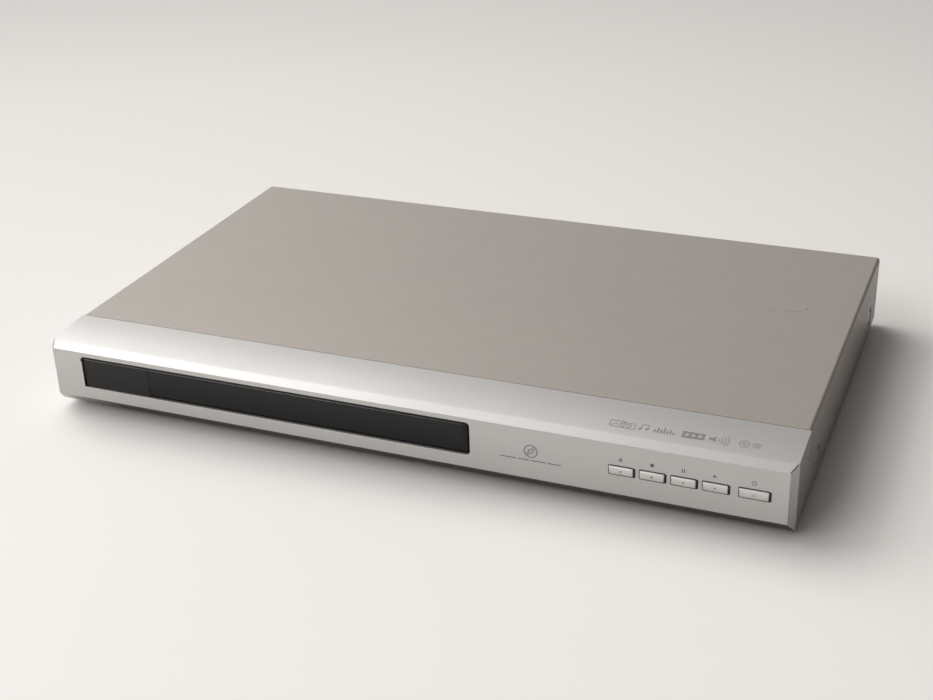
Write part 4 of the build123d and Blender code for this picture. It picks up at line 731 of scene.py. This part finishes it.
def transformerPattern(tree, colour, rough, height):
    low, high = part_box("transformer")
    middle = (low + high) / 2
    end = calc(tree, "ABSOLUTE", calc(tree, "SUBTRACT", placeOn(tree, "Y"), middle.y))
    core = calc(tree, "GREATER_THAN", end, (high.y - low.y) / 2 - laminations["end"])
    turns = calc(tree, "MULTIPLY", placeOn(tree, "Z"), 2 * math.pi / laminations["pitch"])
    sheets = calc(tree, "SINE", turns)
    share = between(tree, sheets, *laminations["edge"])
    steel = mixColour(tree, share, tone(*laminations["dark"]), tone(*laminations["pale"]))
    return mixColour(tree, core, colour, steel), rough, calc(tree, "MULTIPLY", sheets, core)


contactLook = {
    **screwLook,
    "tint": (214, 208, 194),
    "shade": (202, 196, 182),
    "rough": (0.14, 0.24),
    "smudge": 220.0,
}
lensLook = {
    **blackLook,
    "tint": (186, 198, 232),
    "shade": (176, 186, 226),
    "rough": (0.02, 0.04),
    "wear": 0.0,
    "dust": 0.0,
}
smoked = {"Transmission_Weight": 0.3, "IOR": 1.49, "Specular_IOR_Level": 0.24}

finishes = {
    "cover_paint": makeFinish("coverPaint", coverLook, coverPattern),
    "bezel_silver": makeFinish("bezelLacquer", bezelLook, bezelPattern),
    "button_silver": makeFinish("buttonLacquer", buttonLook, capPattern),
    "door_black": makeFinish("doorBlack", doorLook, barPattern, Specular_IOR_Level=0.22),
    "window_smoke": makeFinish("windowSmoke", windowLook, barPattern, **smoked),
    "plated_steel": makeFinish("zincSheet", zincLook, zincPattern),
    "foot_rubber": makeFinish("rubber", rubberLook),
    "screw_steel": makeFinish("screwSteel", screwLook),
    "circuit_board": makeFinish("circuitBoard", boardLook, boardPattern),
    "black_plastic": makeFinish("blackMoulding", blackLook),
    "gear_plastic": makeFinish("gearPlastic", gearLook, Subsurface_Weight=0.08),
    "motor_steel": makeFinish("motorCan", canLook),
    "sleeve": makeFinish("capacitorSleeve", sleeveLook, sleevePattern),
    "heatsink": makeFinish("heatsinkAluminium", heatsinkLook),
    "transformer_core": makeFinish("woundCore", transformerLook, transformerPattern),
    "contact_metal": makeFinish("contactMetal", contactLook),
    "lens_cover_grey": makeFinish("lensCover", lensCoverLook),
    "lens_glass": makeFinish("lensGlass", lensLook, Transmission_Weight=0.8, IOR=1.5),
}
ownFinish = {
    "rca_cores": makeFinish("jackCores", coreLook, corePattern),
    "front_ribbon": makeFinish("ribbonFilm", ribbonLook, ribbonPattern),
}
for row in frame["record"]["subparts"]:
    part = nodes[row["node"]]
    part.data.materials.clear()
    part.data.materials.append(ownFinish.get(row["node"], finishes[row["material_slot"]]))
print("finishes made:", len(finishes) + len(ownFinish))


# printed and moulded marks: every mark is a set of strokes on a flat sheet, in millimetres
def lineOf(*points):
    return np.array(points, float)


# points of a circle from one angle to another, in even steps of the angle
def arcOf(middle, radius, start=0, end=360, steps=32):
    turn = np.radians(np.linspace(start, end, steps))
    return np.stack([middle[0] + radius * np.cos(turn), middle[1] + radius * np.sin(turn)], 1)


# an outline with rounded corners: four quarter arcs joined by the straight sides between them
def frameOf(left, bottom, right, top, corner):
    corners = [(right - corner, top - corner, 0), (left + corner, top - corner, 90)]
    corners += [(left + corner, bottom + corner, 180), (right - corner, bottom + corner, 270)]
    path = np.concatenate([arcOf((x, y), corner, turn, turn + 90, 7) for x, y, turn in corners])
    return np.concatenate([path, path[:1]])


# a ribbon: each point of a path, moved half the width to either side along the path's normal there;
# two more points near the ends of every run keep its corners sharp
def ribbonOf(path, width, near=0.02):
    runs = path[1:] - path[:-1]
    fine = np.stack([path[:-1] + runs * share for share in (0, near, 1 - near)], 1).reshape(-1, 2)
    fine = np.concatenate([fine, path[-1:]])
    ahead = np.gradient(fine, axis=0)
    side = np.stack([-ahead[:, 1], ahead[:, 0]], 1) / np.linalg.norm(ahead, axis=1)[:, None]
    return fine[:, None] + side[:, None] * np.array([-0.5, 0.5])[:, None] * width


# a filled patch: straight lines between the points of one edge and those of the opposite edge
def patchOf(first, second):
    return np.stack([np.array(first, float), np.array(second, float)], 1)


# a filled rectangle
def blockOf(left, bottom, right, top):
    return patchOf([(left, bottom), (right, bottom)], [(left, top), (right, top)])


def shifted(strips, x, y):
    return [strip + np.array([x, y]) for strip in strips]


# flat points on an upright sheet at depth y, and on a level one at height z
def upright(strip, y):
    return np.stack([strip[..., 0], np.full(strip.shape[:-1], y), strip[..., 1]], -1)


def level(strip, z):
    return np.stack([strip[..., 0], strip[..., 1], np.full(strip.shape[:-1], z)], -1)


# one new mesh from points in millimetres, which rides on a body
def addPiece(name, points, faces, body, material):
    mesh = bpy.data.meshes.new(name)
    mesh.from_pydata((points * mm).tolist(), [], faces)
    mesh.update()
    mesh.materials.append(material)
    piece = bpy.data.objects.new(name, mesh)
    bpy.context.scene.collection.objects.link(piece)
    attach(piece, body)


# strips of two columns joined into one mesh: a face between each row and the next
def addMarks(name, strips, body, material):
    places, faces, start = [], [], 0
    for strip in strips:
        rows = np.arange(len(strip) - 1)[:, None] * 2 + start
        faces.append(rows + np.array([0, 1, 3, 2]))
        places.append(strip.reshape(-1, 3))
        start += 2 * len(strip)
    addPiece(name, np.concatenate(places), np.concatenate(faces).tolist(), body, material)


inkLook = {
    "tint": (98, 94, 91),
    "shade": (108, 104, 101),
    "rough": (0.45, 0.55),
    "smudge": 300.0,
    "depth": 0.000002,
    "round": 0.00005,
    "wear": 0.0,
    "dust": 0.05,
}
ink = makeFinish("greyInk", inkLook)
paleInk = makeFinish("paleInk", {**inkLook, "tint": (134, 130, 126), "shade": (122, 118, 114)})
shadowInk = makeFinish("grooveShadow", {**inkLook, "tint": (58, 56, 54), "shade": (50, 48, 46)})
gapInk = makeFinish("gapShadow", {**inkLook, "tint": (14, 14, 14), "shade": (18, 18, 18)})
scuffInk = makeFinish("scuffedPaint", {**inkLook, "tint": (104, 96, 90), "shade": (118, 110, 104)})
digitInk = makeFinish("unlitBars", {**inkLook, "tint": (150, 146, 140), "shade": (140, 136, 130)})

inkGap = 0.04  # how far ink stands off the surface, so that it isn't lost in it
bezel = {
    "face": -136.85,  # Y of its flat face
    "crown": (-131.25, -100.55),  # Y of the front and the back of its bowed top
    "height": 42.5,  # at the front of the top
    "rise": 2.4,
    "bow": 0.55,  # how far its middle stands over a straight line
    "crownGap": 0.07,  # ink stands off more here, over the facets of the bow
}


# height of the bowed top of the bezel at depth y: a straight line plus a shallow parabola
def crownHeight(y):
    front, back = bezel["crown"]
    share = (y - front) / (back - front)
    return bezel["height"] + bezel["rise"] * share + 4 * bezel["bow"] * share * (1 - share)


def onFront(strip):
    return upright(strip, bezel["face"] - inkGap)


def onCrown(strip):
    y = bezel["face"] + strip[..., 1]
    return np.stack([strip[..., 0], y, crownHeight(y) + bezel["crownGap"]], -1)


# the sign of each button, about 2 across
signs = {
    "open_close_button": [
        patchOf([(-1, -0.25), (1, -0.25)], [(-0.03, 1), (0.03, 1)]),
        ribbonOf(lineOf((-1, -0.7), (1, -0.7)), 0.35),
    ],
    "stop_button": [blockOf(-0.8, -0.8, 0.8, 0.8)],
    "pause_button": [blockOf(-0.75, -0.9, -0.25, 0.9), blockOf(0.25, -0.9, 0.75, 0.9)],
    "play_button": [patchOf([(-0.7, -0.9), (0.9, -0.03)], [(-0.7, 0.9), (0.9, 0.03)])],
    "power_button": [
        ribbonOf(arcOf((0, 0), 1, 125, 415), 0.3),
        ribbonOf(lineOf((0, 0.1), (0, 1.2)), 0.3),
    ],
}


def signOf(button, size, x, y):
    return shifted([strip * size for strip in signs[button]], x, y)


# X of the sign over each button, then the disc and the broken rule to the left of them
frontMarks = {
    "signs": {
        "open_close_button": 127.7,
        "stop_button": 143.9,
        "pause_button": 159.8,
        "play_button": 175.6,
        "power_button": 194.9,
    },
    "signHeight": 31.5,
    "signSize": 1.15,
    "disc": (80.0, 27.4),
    "rings": ((3.5, 0.5), (1.2, 0.45)),  # radius and width
    "glints": ((2.0, 20), (2.0, 200), (2.7, 20), (2.7, 200)),  # radius and angle
    "glintTurn": 50,
    "glintWidth": 0.3,
    "rule": ((63, 9), (73, 6), (80, 8), (89, 7.5)),  # start and length
    "ruleHeight": 22.0,
    "ruleWidth": 0.5,
}


def makeFrontMarks():
    look = frontMarks
    strips = []
    for name, x in look["signs"].items():
        strips += signOf(name, look["signSize"], x, look["signHeight"])
    disc = [ribbonOf(arcOf((0, 0), radius), width) for radius, width in look["rings"]]
    for radius, angle in look["glints"]:
        disc.append(ribbonOf(arcOf((0, 0), radius, angle, angle + look["glintTurn"], 12), look["glintWidth"]))
    strips += shifted(disc, *look["disc"])
    height = look["ruleHeight"]
    for start, length in look["rule"]:
        strips.append(ribbonOf(lineOf((start, height), (start + length, height)), look["ruleWidth"]))
    addMarks("front_marks", [onFront(strip) for strip in strips], "player", ink)


makeFrontMarks()


# small pictograms in a row on top of the bezel, drawn in thin lines about 5 mm deep; X of each one's
# left end, and how far behind the face it starts
crownRow = {
    "line": 0.35,
    "photo": (117.7, 12.0),
    "music": (132.7, 12.0),
    "film": (154.9, 12.2),
    "sound": (168.0, 12.0),
    "disc": (183.3, 12.2),
    "levels": (2.6, 4.4, 3.4, 5, 2.8, 4, 2.2),  # heights of the bars beside the note
}


def makeCrownMarks():
    thin = crownRow["line"]
    photo = [ribbonOf(frameOf(0, 0, 7.5, 5, 0.8), thin), ribbonOf(frameOf(6.2, -0.4, 13.2, 4.2, 0.8), thin)]
    photo += [ribbonOf(lineOf((1, 0.8), (3, 3), (4.4, 1.6), (6, 3.4)), thin)]
    photo += [ribbonOf(arcOf((9.8, 2), 1.2), thin)]
    music = [ribbonOf(lineOf((1.5, 1), (1.5, 4.8), (5, 5.4), (5, 1.6)), 0.4)]
    music += [ribbonOf(arcOf((x, y), 0.6, steps=14), 0.5) for x, y in ((0.9, 1), (4.4, 1.6))]
    bars = zip(np.arange(8, 19, 1.6), crownRow["levels"])
    music += [blockOf(x, 0.4, x + 0.9, top) for x, top in bars]
    film = [blockOf(0, y, 11.5, y + 1.5) for y in (0, 3.6)]
    film += [blockOf(x, 1.5, x + 1.6, 3.6) for x in (0, 3.3, 6.6, 9.9)]
    sound = [blockOf(0.5, 1.7, 2.2, 3.5), patchOf([(2.2, 1.7), (4, 0.2)], [(2.2, 3.5), (4, 5)])]
    sound += [ribbonOf(arcOf((4, 2.6), radius, -42, 42, 14), thin) for radius in (1.8, 3.4, 5.0, 6.6)]
    disc = [ribbonOf(arcOf((2.8, 2.6), radius), thin) for radius in (2.5, 0.8)]
    disc += [ribbonOf(lineOf((7, y), (11, y)), thin) for y in (1.2, 2.6, 4.0)]
    pictures = {"photo": photo, "music": music, "film": film, "sound": sound, "disc": disc}
    strips = [strip for name, drawn in pictures.items() for strip in shifted(drawn, *crownRow[name])]
    addMarks("crown_marks", [onCrown(strip) for strip in strips], "player", paleInk)


makeCrownMarks()


# the same signs, small and faint, on the button caps
capMarks = {"size": 0.75, "gap": 0.01}


def makeCapMarks():
    for name in frontMarks["signs"]:
        low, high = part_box(name)
        middle = (low + high) / (2 * mm)
        face = low.y / mm - capMarks["gap"]
        strips = [upright(strip, face) for strip in signOf(name, capMarks["size"], middle.x, middle.z)]
        addMarks(name.replace("button", "mark"), strips, name, paleInk)


makeCapMarks()


# painted shadow round each button: a dark line over the gap, wider at its right end where the cap shades the
# face
buttonShadow = {
    "play": 0.35,
    "flange": 1.0,  # the flange behind the wall is this much wider than the cap
    "width": 0.35,
    "offset": (0.1, 0.05, 0.15, 0.15),  # left, bottom, right and top of the line, from the hole's edge
    "corner": 0.6,
    "rightWidth": 0.85,
    "taper": 0.2,
}


def makeButtonShadows():
    strips = []
    for name in frontMarks["signs"]:
        low, high = (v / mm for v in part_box(name))
        reach = buttonShadow["play"] - buttonShadow["flange"]
        hole = np.array([low.x - reach, low.z - reach, high.x + reach, high.z + reach])
        left, bottom, right, top = hole
        outline = frameOf(*(hole + buttonShadow["offset"]), buttonShadow["corner"])
        far, taper = right + buttonShadow["rightWidth"], buttonShadow["taper"]
        strips.append(ribbonOf(outline, buttonShadow["width"]))
        strips.append(patchOf([(right, bottom), (far, bottom + taper)], [(right, top), (far, top - taper)]))
    addMarks("button_shadows", [onFront(strip) for strip in strips], "player", shadowInk)


makeButtonShadows()


# painted shadow in the gap over the dark bar, which runs round its upper corners; corner is the radius of the
# opening's
opening = {
    "left": -193.2,
    "right": 46.3,
    "top": 37.2,
    "corner": 2.5,
    "out": 0.25,  # how far outside the opening's edge the line's middle lies
    "width": 0.65,
    "rightArc": (28, 90),
    "leftArc": (90, 180),
}


def makeGapShadow():
    corner = opening["corner"]
    ends = [(opening["right"] - corner, opening["rightArc"]), (opening["left"] + corner, opening["leftArc"])]
    inner, reach = opening["top"] - corner, corner + opening["out"]
    path = np.concatenate([arcOf((x, inner), reach, *arc, 9) for x, arc in ends])
    line = onFront(ribbonOf(path, opening["width"]))
    addMarks("bar_gap_shadow", [line], "player", gapInk)


makeGapShadow()


# painted shade: a dark line between the brow and the bevel of each front corner, from the face up to the fold
brow = {
    "start": (212.0, -136.85, 40.4),
    "end": (214.4, -131.25, 42.5),
    "inside": 0.12,
    "width": 0.5,
}


# the brow is a plane: its height grows evenly from the start's depth to the end's
def onBrow(strip):
    _, front, low = brow["start"]
    _, back, high = brow["end"]
    z = low + (high - low) * (strip[..., 1] - front) / (back - front) + inkGap
    return np.stack([strip[..., 0], strip[..., 1], z], -1)


def makeCornerShade():
    path = lineOf(brow["start"][:2], brow["end"][:2]) - np.array([brow["inside"], 0])
    strips = [onBrow(ribbonOf(path * np.array([side, 1]), brow["width"])) for side in (1, -1)]
    addMarks("corner_shade_lines", strips, "player", gapInk)


makeCornerShade()


# a scuff on the cover: a few short strokes, each a start and an end in X and Y
scuff = {
    "width": 0.5,
    "gap": 0.01,
    "strokes": [
        ((164.1, 31.7), (167.8, 32.6)),
        ((174.2, 33.4), (178.6, 34.8)),
        ((180.0, 34.4), (183.4, 35.6)),
        ((185.9, 41.6), (186.8, 38.2)),
    ],
}


def makeScuff():
    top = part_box("top_cover")[1].z / mm + scuff["gap"]
    strips = [level(ribbonOf(lineOf(*stroke), scuff["width"]), top) for stroke in scuff["strokes"]]
    addMarks("cover_scuff", strips, "player", scuffInk)


makeScuff()
print("marks drawn")


# square left end of the door: it fills the space in front of the door's bevel, so that the door meets
# the window in a hairline
doorEnd = {
    "outer": -149.5,
    "inner": -149.25,
    "bevel": 1.2,
    "back": -132.5,
    "notch": ((-149.7, 36.6), (-150.6, 35.4), (-151.9, 34.2)),  # painted shade in a notch in the strip's top edge, beside the door
    "notchWidth": 0.4,
}


# a profile in X and Y carried up Z; its top and bottom follow the door's own bevels
def makeDoorEnd():
    low, high = (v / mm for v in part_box("tray_door"))
    outer, inner, bevel, back = (doorEnd[name] for name in ("outer", "inner", "bevel", "back"))
    x = np.array([outer, inner + bevel, inner, inner, outer, outer])
    y = np.array([low.y, low.y, low.y + bevel, back, back, low.y + bevel])
    cut = np.maximum(0, low.y + bevel - y)
    points = np.concatenate([np.stack([x, y, low.z + cut], 1), np.stack([x, y, high.z - cut], 1)])
    count = len(x)
    steps = np.arange(count)
    following = (steps + 1) % count
    sides = np.stack([steps, following, following + count, steps + count], 1).tolist()
    faces = sides + [steps[::-1].tolist(), (steps + count).tolist()]
    addPiece("door_end", points, faces, "tray", finishes["door_black"])
    # painted shade: a dark stroke in the notch where the window meets the door
    notch = upright(ribbonOf(lineOf(*doorEnd["notch"]), doorEnd["notchWidth"]), low.y - inkGap)
    addMarks("window_notch_shade", [notch], "player", shadowInk)


makeDoorEnd()
print("door end made")


# unlit seven-bar digits behind the smoked window
display = {
    "digits": 4,
    "width": 4.2,
    "height": 8.0,
    "pitch": 6.6,
    "bar": 0.8,
    "between": 0.5,  # from the end of a bar to the corner
    "lean": 0.12,
    "gap": 0.05,
}


def makeDisplayDigits():
    low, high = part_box("led_display")
    middle = (low + high) / (2 * mm)
    w, h, gap = display["width"] / 2, display["height"] / 2, display["between"]
    bars = [((-w + gap, y), (w - gap, y)) for y in (-h, 0, h)]
    bars += [((x, y + gap), (x, y + h - gap)) for x in (-w, w) for y in (-h, 0)]
    strips = []
    for place in (np.arange(display["digits"]) - (display["digits"] - 1) / 2) * display["pitch"]:
        for start, end in bars:
            line = lineOf(start, end)
            line[:, 0] += display["lean"] * line[:, 1] + place
            strips.append(ribbonOf(line, display["bar"]))
    face = low.y / mm - display["gap"]
    strips = [upright(strip, face) for strip in shifted(strips, middle.x, middle.z)]
    addMarks("display_digits", strips, "player", digitInk)


makeDisplayDigits()
print("display digits drawn")


# floor, light and surroundings
studio = {
    # painted light on the floor: it is coloured paler round its middle point and darker farther off
    "floor": (239, 236, 233),
    "floorFarShade": (195, 191, 188),
    "floorRough": 0.6,
    "floorGloss": 0.2,
    "floorHalf": 8,  # metres from its middle to each side
    "floorCells": 16,
    "floorLitMiddle": (0.05, -0.25),
    "floorShadeFade": (0.2, 1.6),
    "floorEnd": (0.9, 2.0),  # from here the floor runs into the backdrop
    "skyLeft": (0.70, 0.69, 0.68, 1),
    "skyRight": (0.064, 0.055, 0.048, 1),
    "glossRight": (0.26, 0.255, 0.25, 1),  # what shiny surfaces see on that side
    "skyTurn": (-0.95, 0.5),  # the X directions between which the left sky turns into the right one
    "backdrop": (204, 201, 198),
}
# each lamp points at the player
lamps = {
    "windowLight": {
        "place": (-4.5, 0.53, 3.3),
        "size": (5.4, 3.3),
        "power": 179.0,
        "colour": (1.0, 0.995, 0.985),
    },
    "ceilingLight": {
        "place": (-1.85, 1.2, 3.1),
        "size": (2.8, 2.2),
        "power": 47.0,
        "colour": (1.0, 0.995, 0.985),
    },
    "frontFill": {
        "place": (-1.7, -2.7, 2.5),
        "size": (2.6, 1.8),
        "power": 51.5,
        "colour": (1.0, 1.0, 1.0),
    },
}


# a flat square grid at height 0
def makeFloor():
    cells, half = studio["floorCells"], studio["floorHalf"]
    side = np.linspace(-half, half, cells + 1)
    x, y = np.meshgrid(side, side)
    points = np.stack([x.ravel(), y.ravel(), np.zeros(x.size)], 1)
    corner = (np.arange(cells)[:, None] * (cells + 1) + np.arange(cells)).ravel()[:, None]
    faces = corner + np.array([0, 1, cells + 2, cells + 1])
    mesh = bpy.data.meshes.new("floor")
    mesh.from_pydata(points.tolist(), [], faces.tolist())
    material = bpy.data.materials.new("paleFloor")
    material.use_nodes = True
    tree = material.node_tree
    tree.nodes.clear()
    offsets = [calc(tree, "SUBTRACT", placeOn(tree, "XY"[i]), studio["floorLitMiddle"][i]) for i in (0, 1)]
    away = calc(tree, "SQRT", calc(tree, "ADD", *[calc(tree, "POWER", offset, 2) for offset in offsets]))
    # painted pool of light: paler near the middle, darker farther off
    paintedFalloff = between(tree, away, *studio["floorShadeFade"])
    colour = mixColour(tree, paintedFalloff, tone(*studio["floor"]), tone(*studio["floorFarShade"]))
    surface = {"Roughness": studio["floorRough"], "Specular IOR Level": studio["floorGloss"]}
    shader = put(tree, "BsdfPrincipled", {"Base Color": colour, **surface})
    glow = put(tree, "Emission", {"Color": tone(*studio["backdrop"]), "Strength": 1.0})
    seen = put(tree, "LightPath").outputs["Is Camera Ray"]
    far = calc(tree, "MULTIPLY", between(tree, away, *studio["floorEnd"]), seen)
    mixed = put(tree, "MixShader", {0: far, 1: shader.outputs[0], 2: glow.outputs[0]})
    put(tree, "OutputMaterial", {"Surface": mixed.outputs[0]})
    mesh.materials.append(material)
    floor = bpy.data.objects.new("floor", mesh)
    bpy.context.scene.collection.objects.link(floor)


def makeLamps():
    for name, lamp in lamps.items():
        data = bpy.data.lights.new(name, "AREA")
        data.shape = "RECTANGLE"
        data.size, data.size_y = lamp["size"]
        data.energy = lamp["power"]
        data.color = lamp["colour"]
        light = bpy.data.objects.new(name, data)
        light.location = lamp["place"]
        light.rotation_euler = (-Vector(lamp["place"])).to_track_quat("-Z", "Y").to_euler()
        bpy.context.scene.collection.objects.link(light)


# the camera and clear plastic see the backdrop; all else is lit by a sky that is pale on the left
def makeSky():
    world = bpy.data.worlds.new("studio")
    world.use_nodes = True
    tree = world.node_tree
    tree.nodes.clear()
    ray = put(tree, "LightPath").outputs
    seen = calc(tree, "MAXIMUM", ray["Is Camera Ray"], ray["Is Transmission Ray"])
    side = put(tree, "SeparateXYZ", {0: put(tree, "TexCoord").outputs["Generated"]}).outputs["X"]
    right = mixColour(tree, ray["Is Glossy Ray"], studio["skyRight"], studio["glossRight"])
    glow = mixColour(tree, between(tree, side, *studio["skyTurn"]), studio["skyLeft"], right)
    sky = put(tree, "Background", {"Color": glow, "Strength": 1.0})
    backdrop = put(tree, "Background", {"Color": tone(*studio["backdrop"]), "Strength": 1.0})
    mixed = put(tree, "MixShader", {0: seen, 1: sky.outputs[0], 2: backdrop.outputs[0]})
    put(tree, "OutputWorld", {"Surface": mixed.outputs[0]})
    bpy.context.scene.world = world
    bpy.context.scene.view_settings.view_transform = "Standard"


makeFloor()
makeLamps()
makeSky()
print("floor and light made")
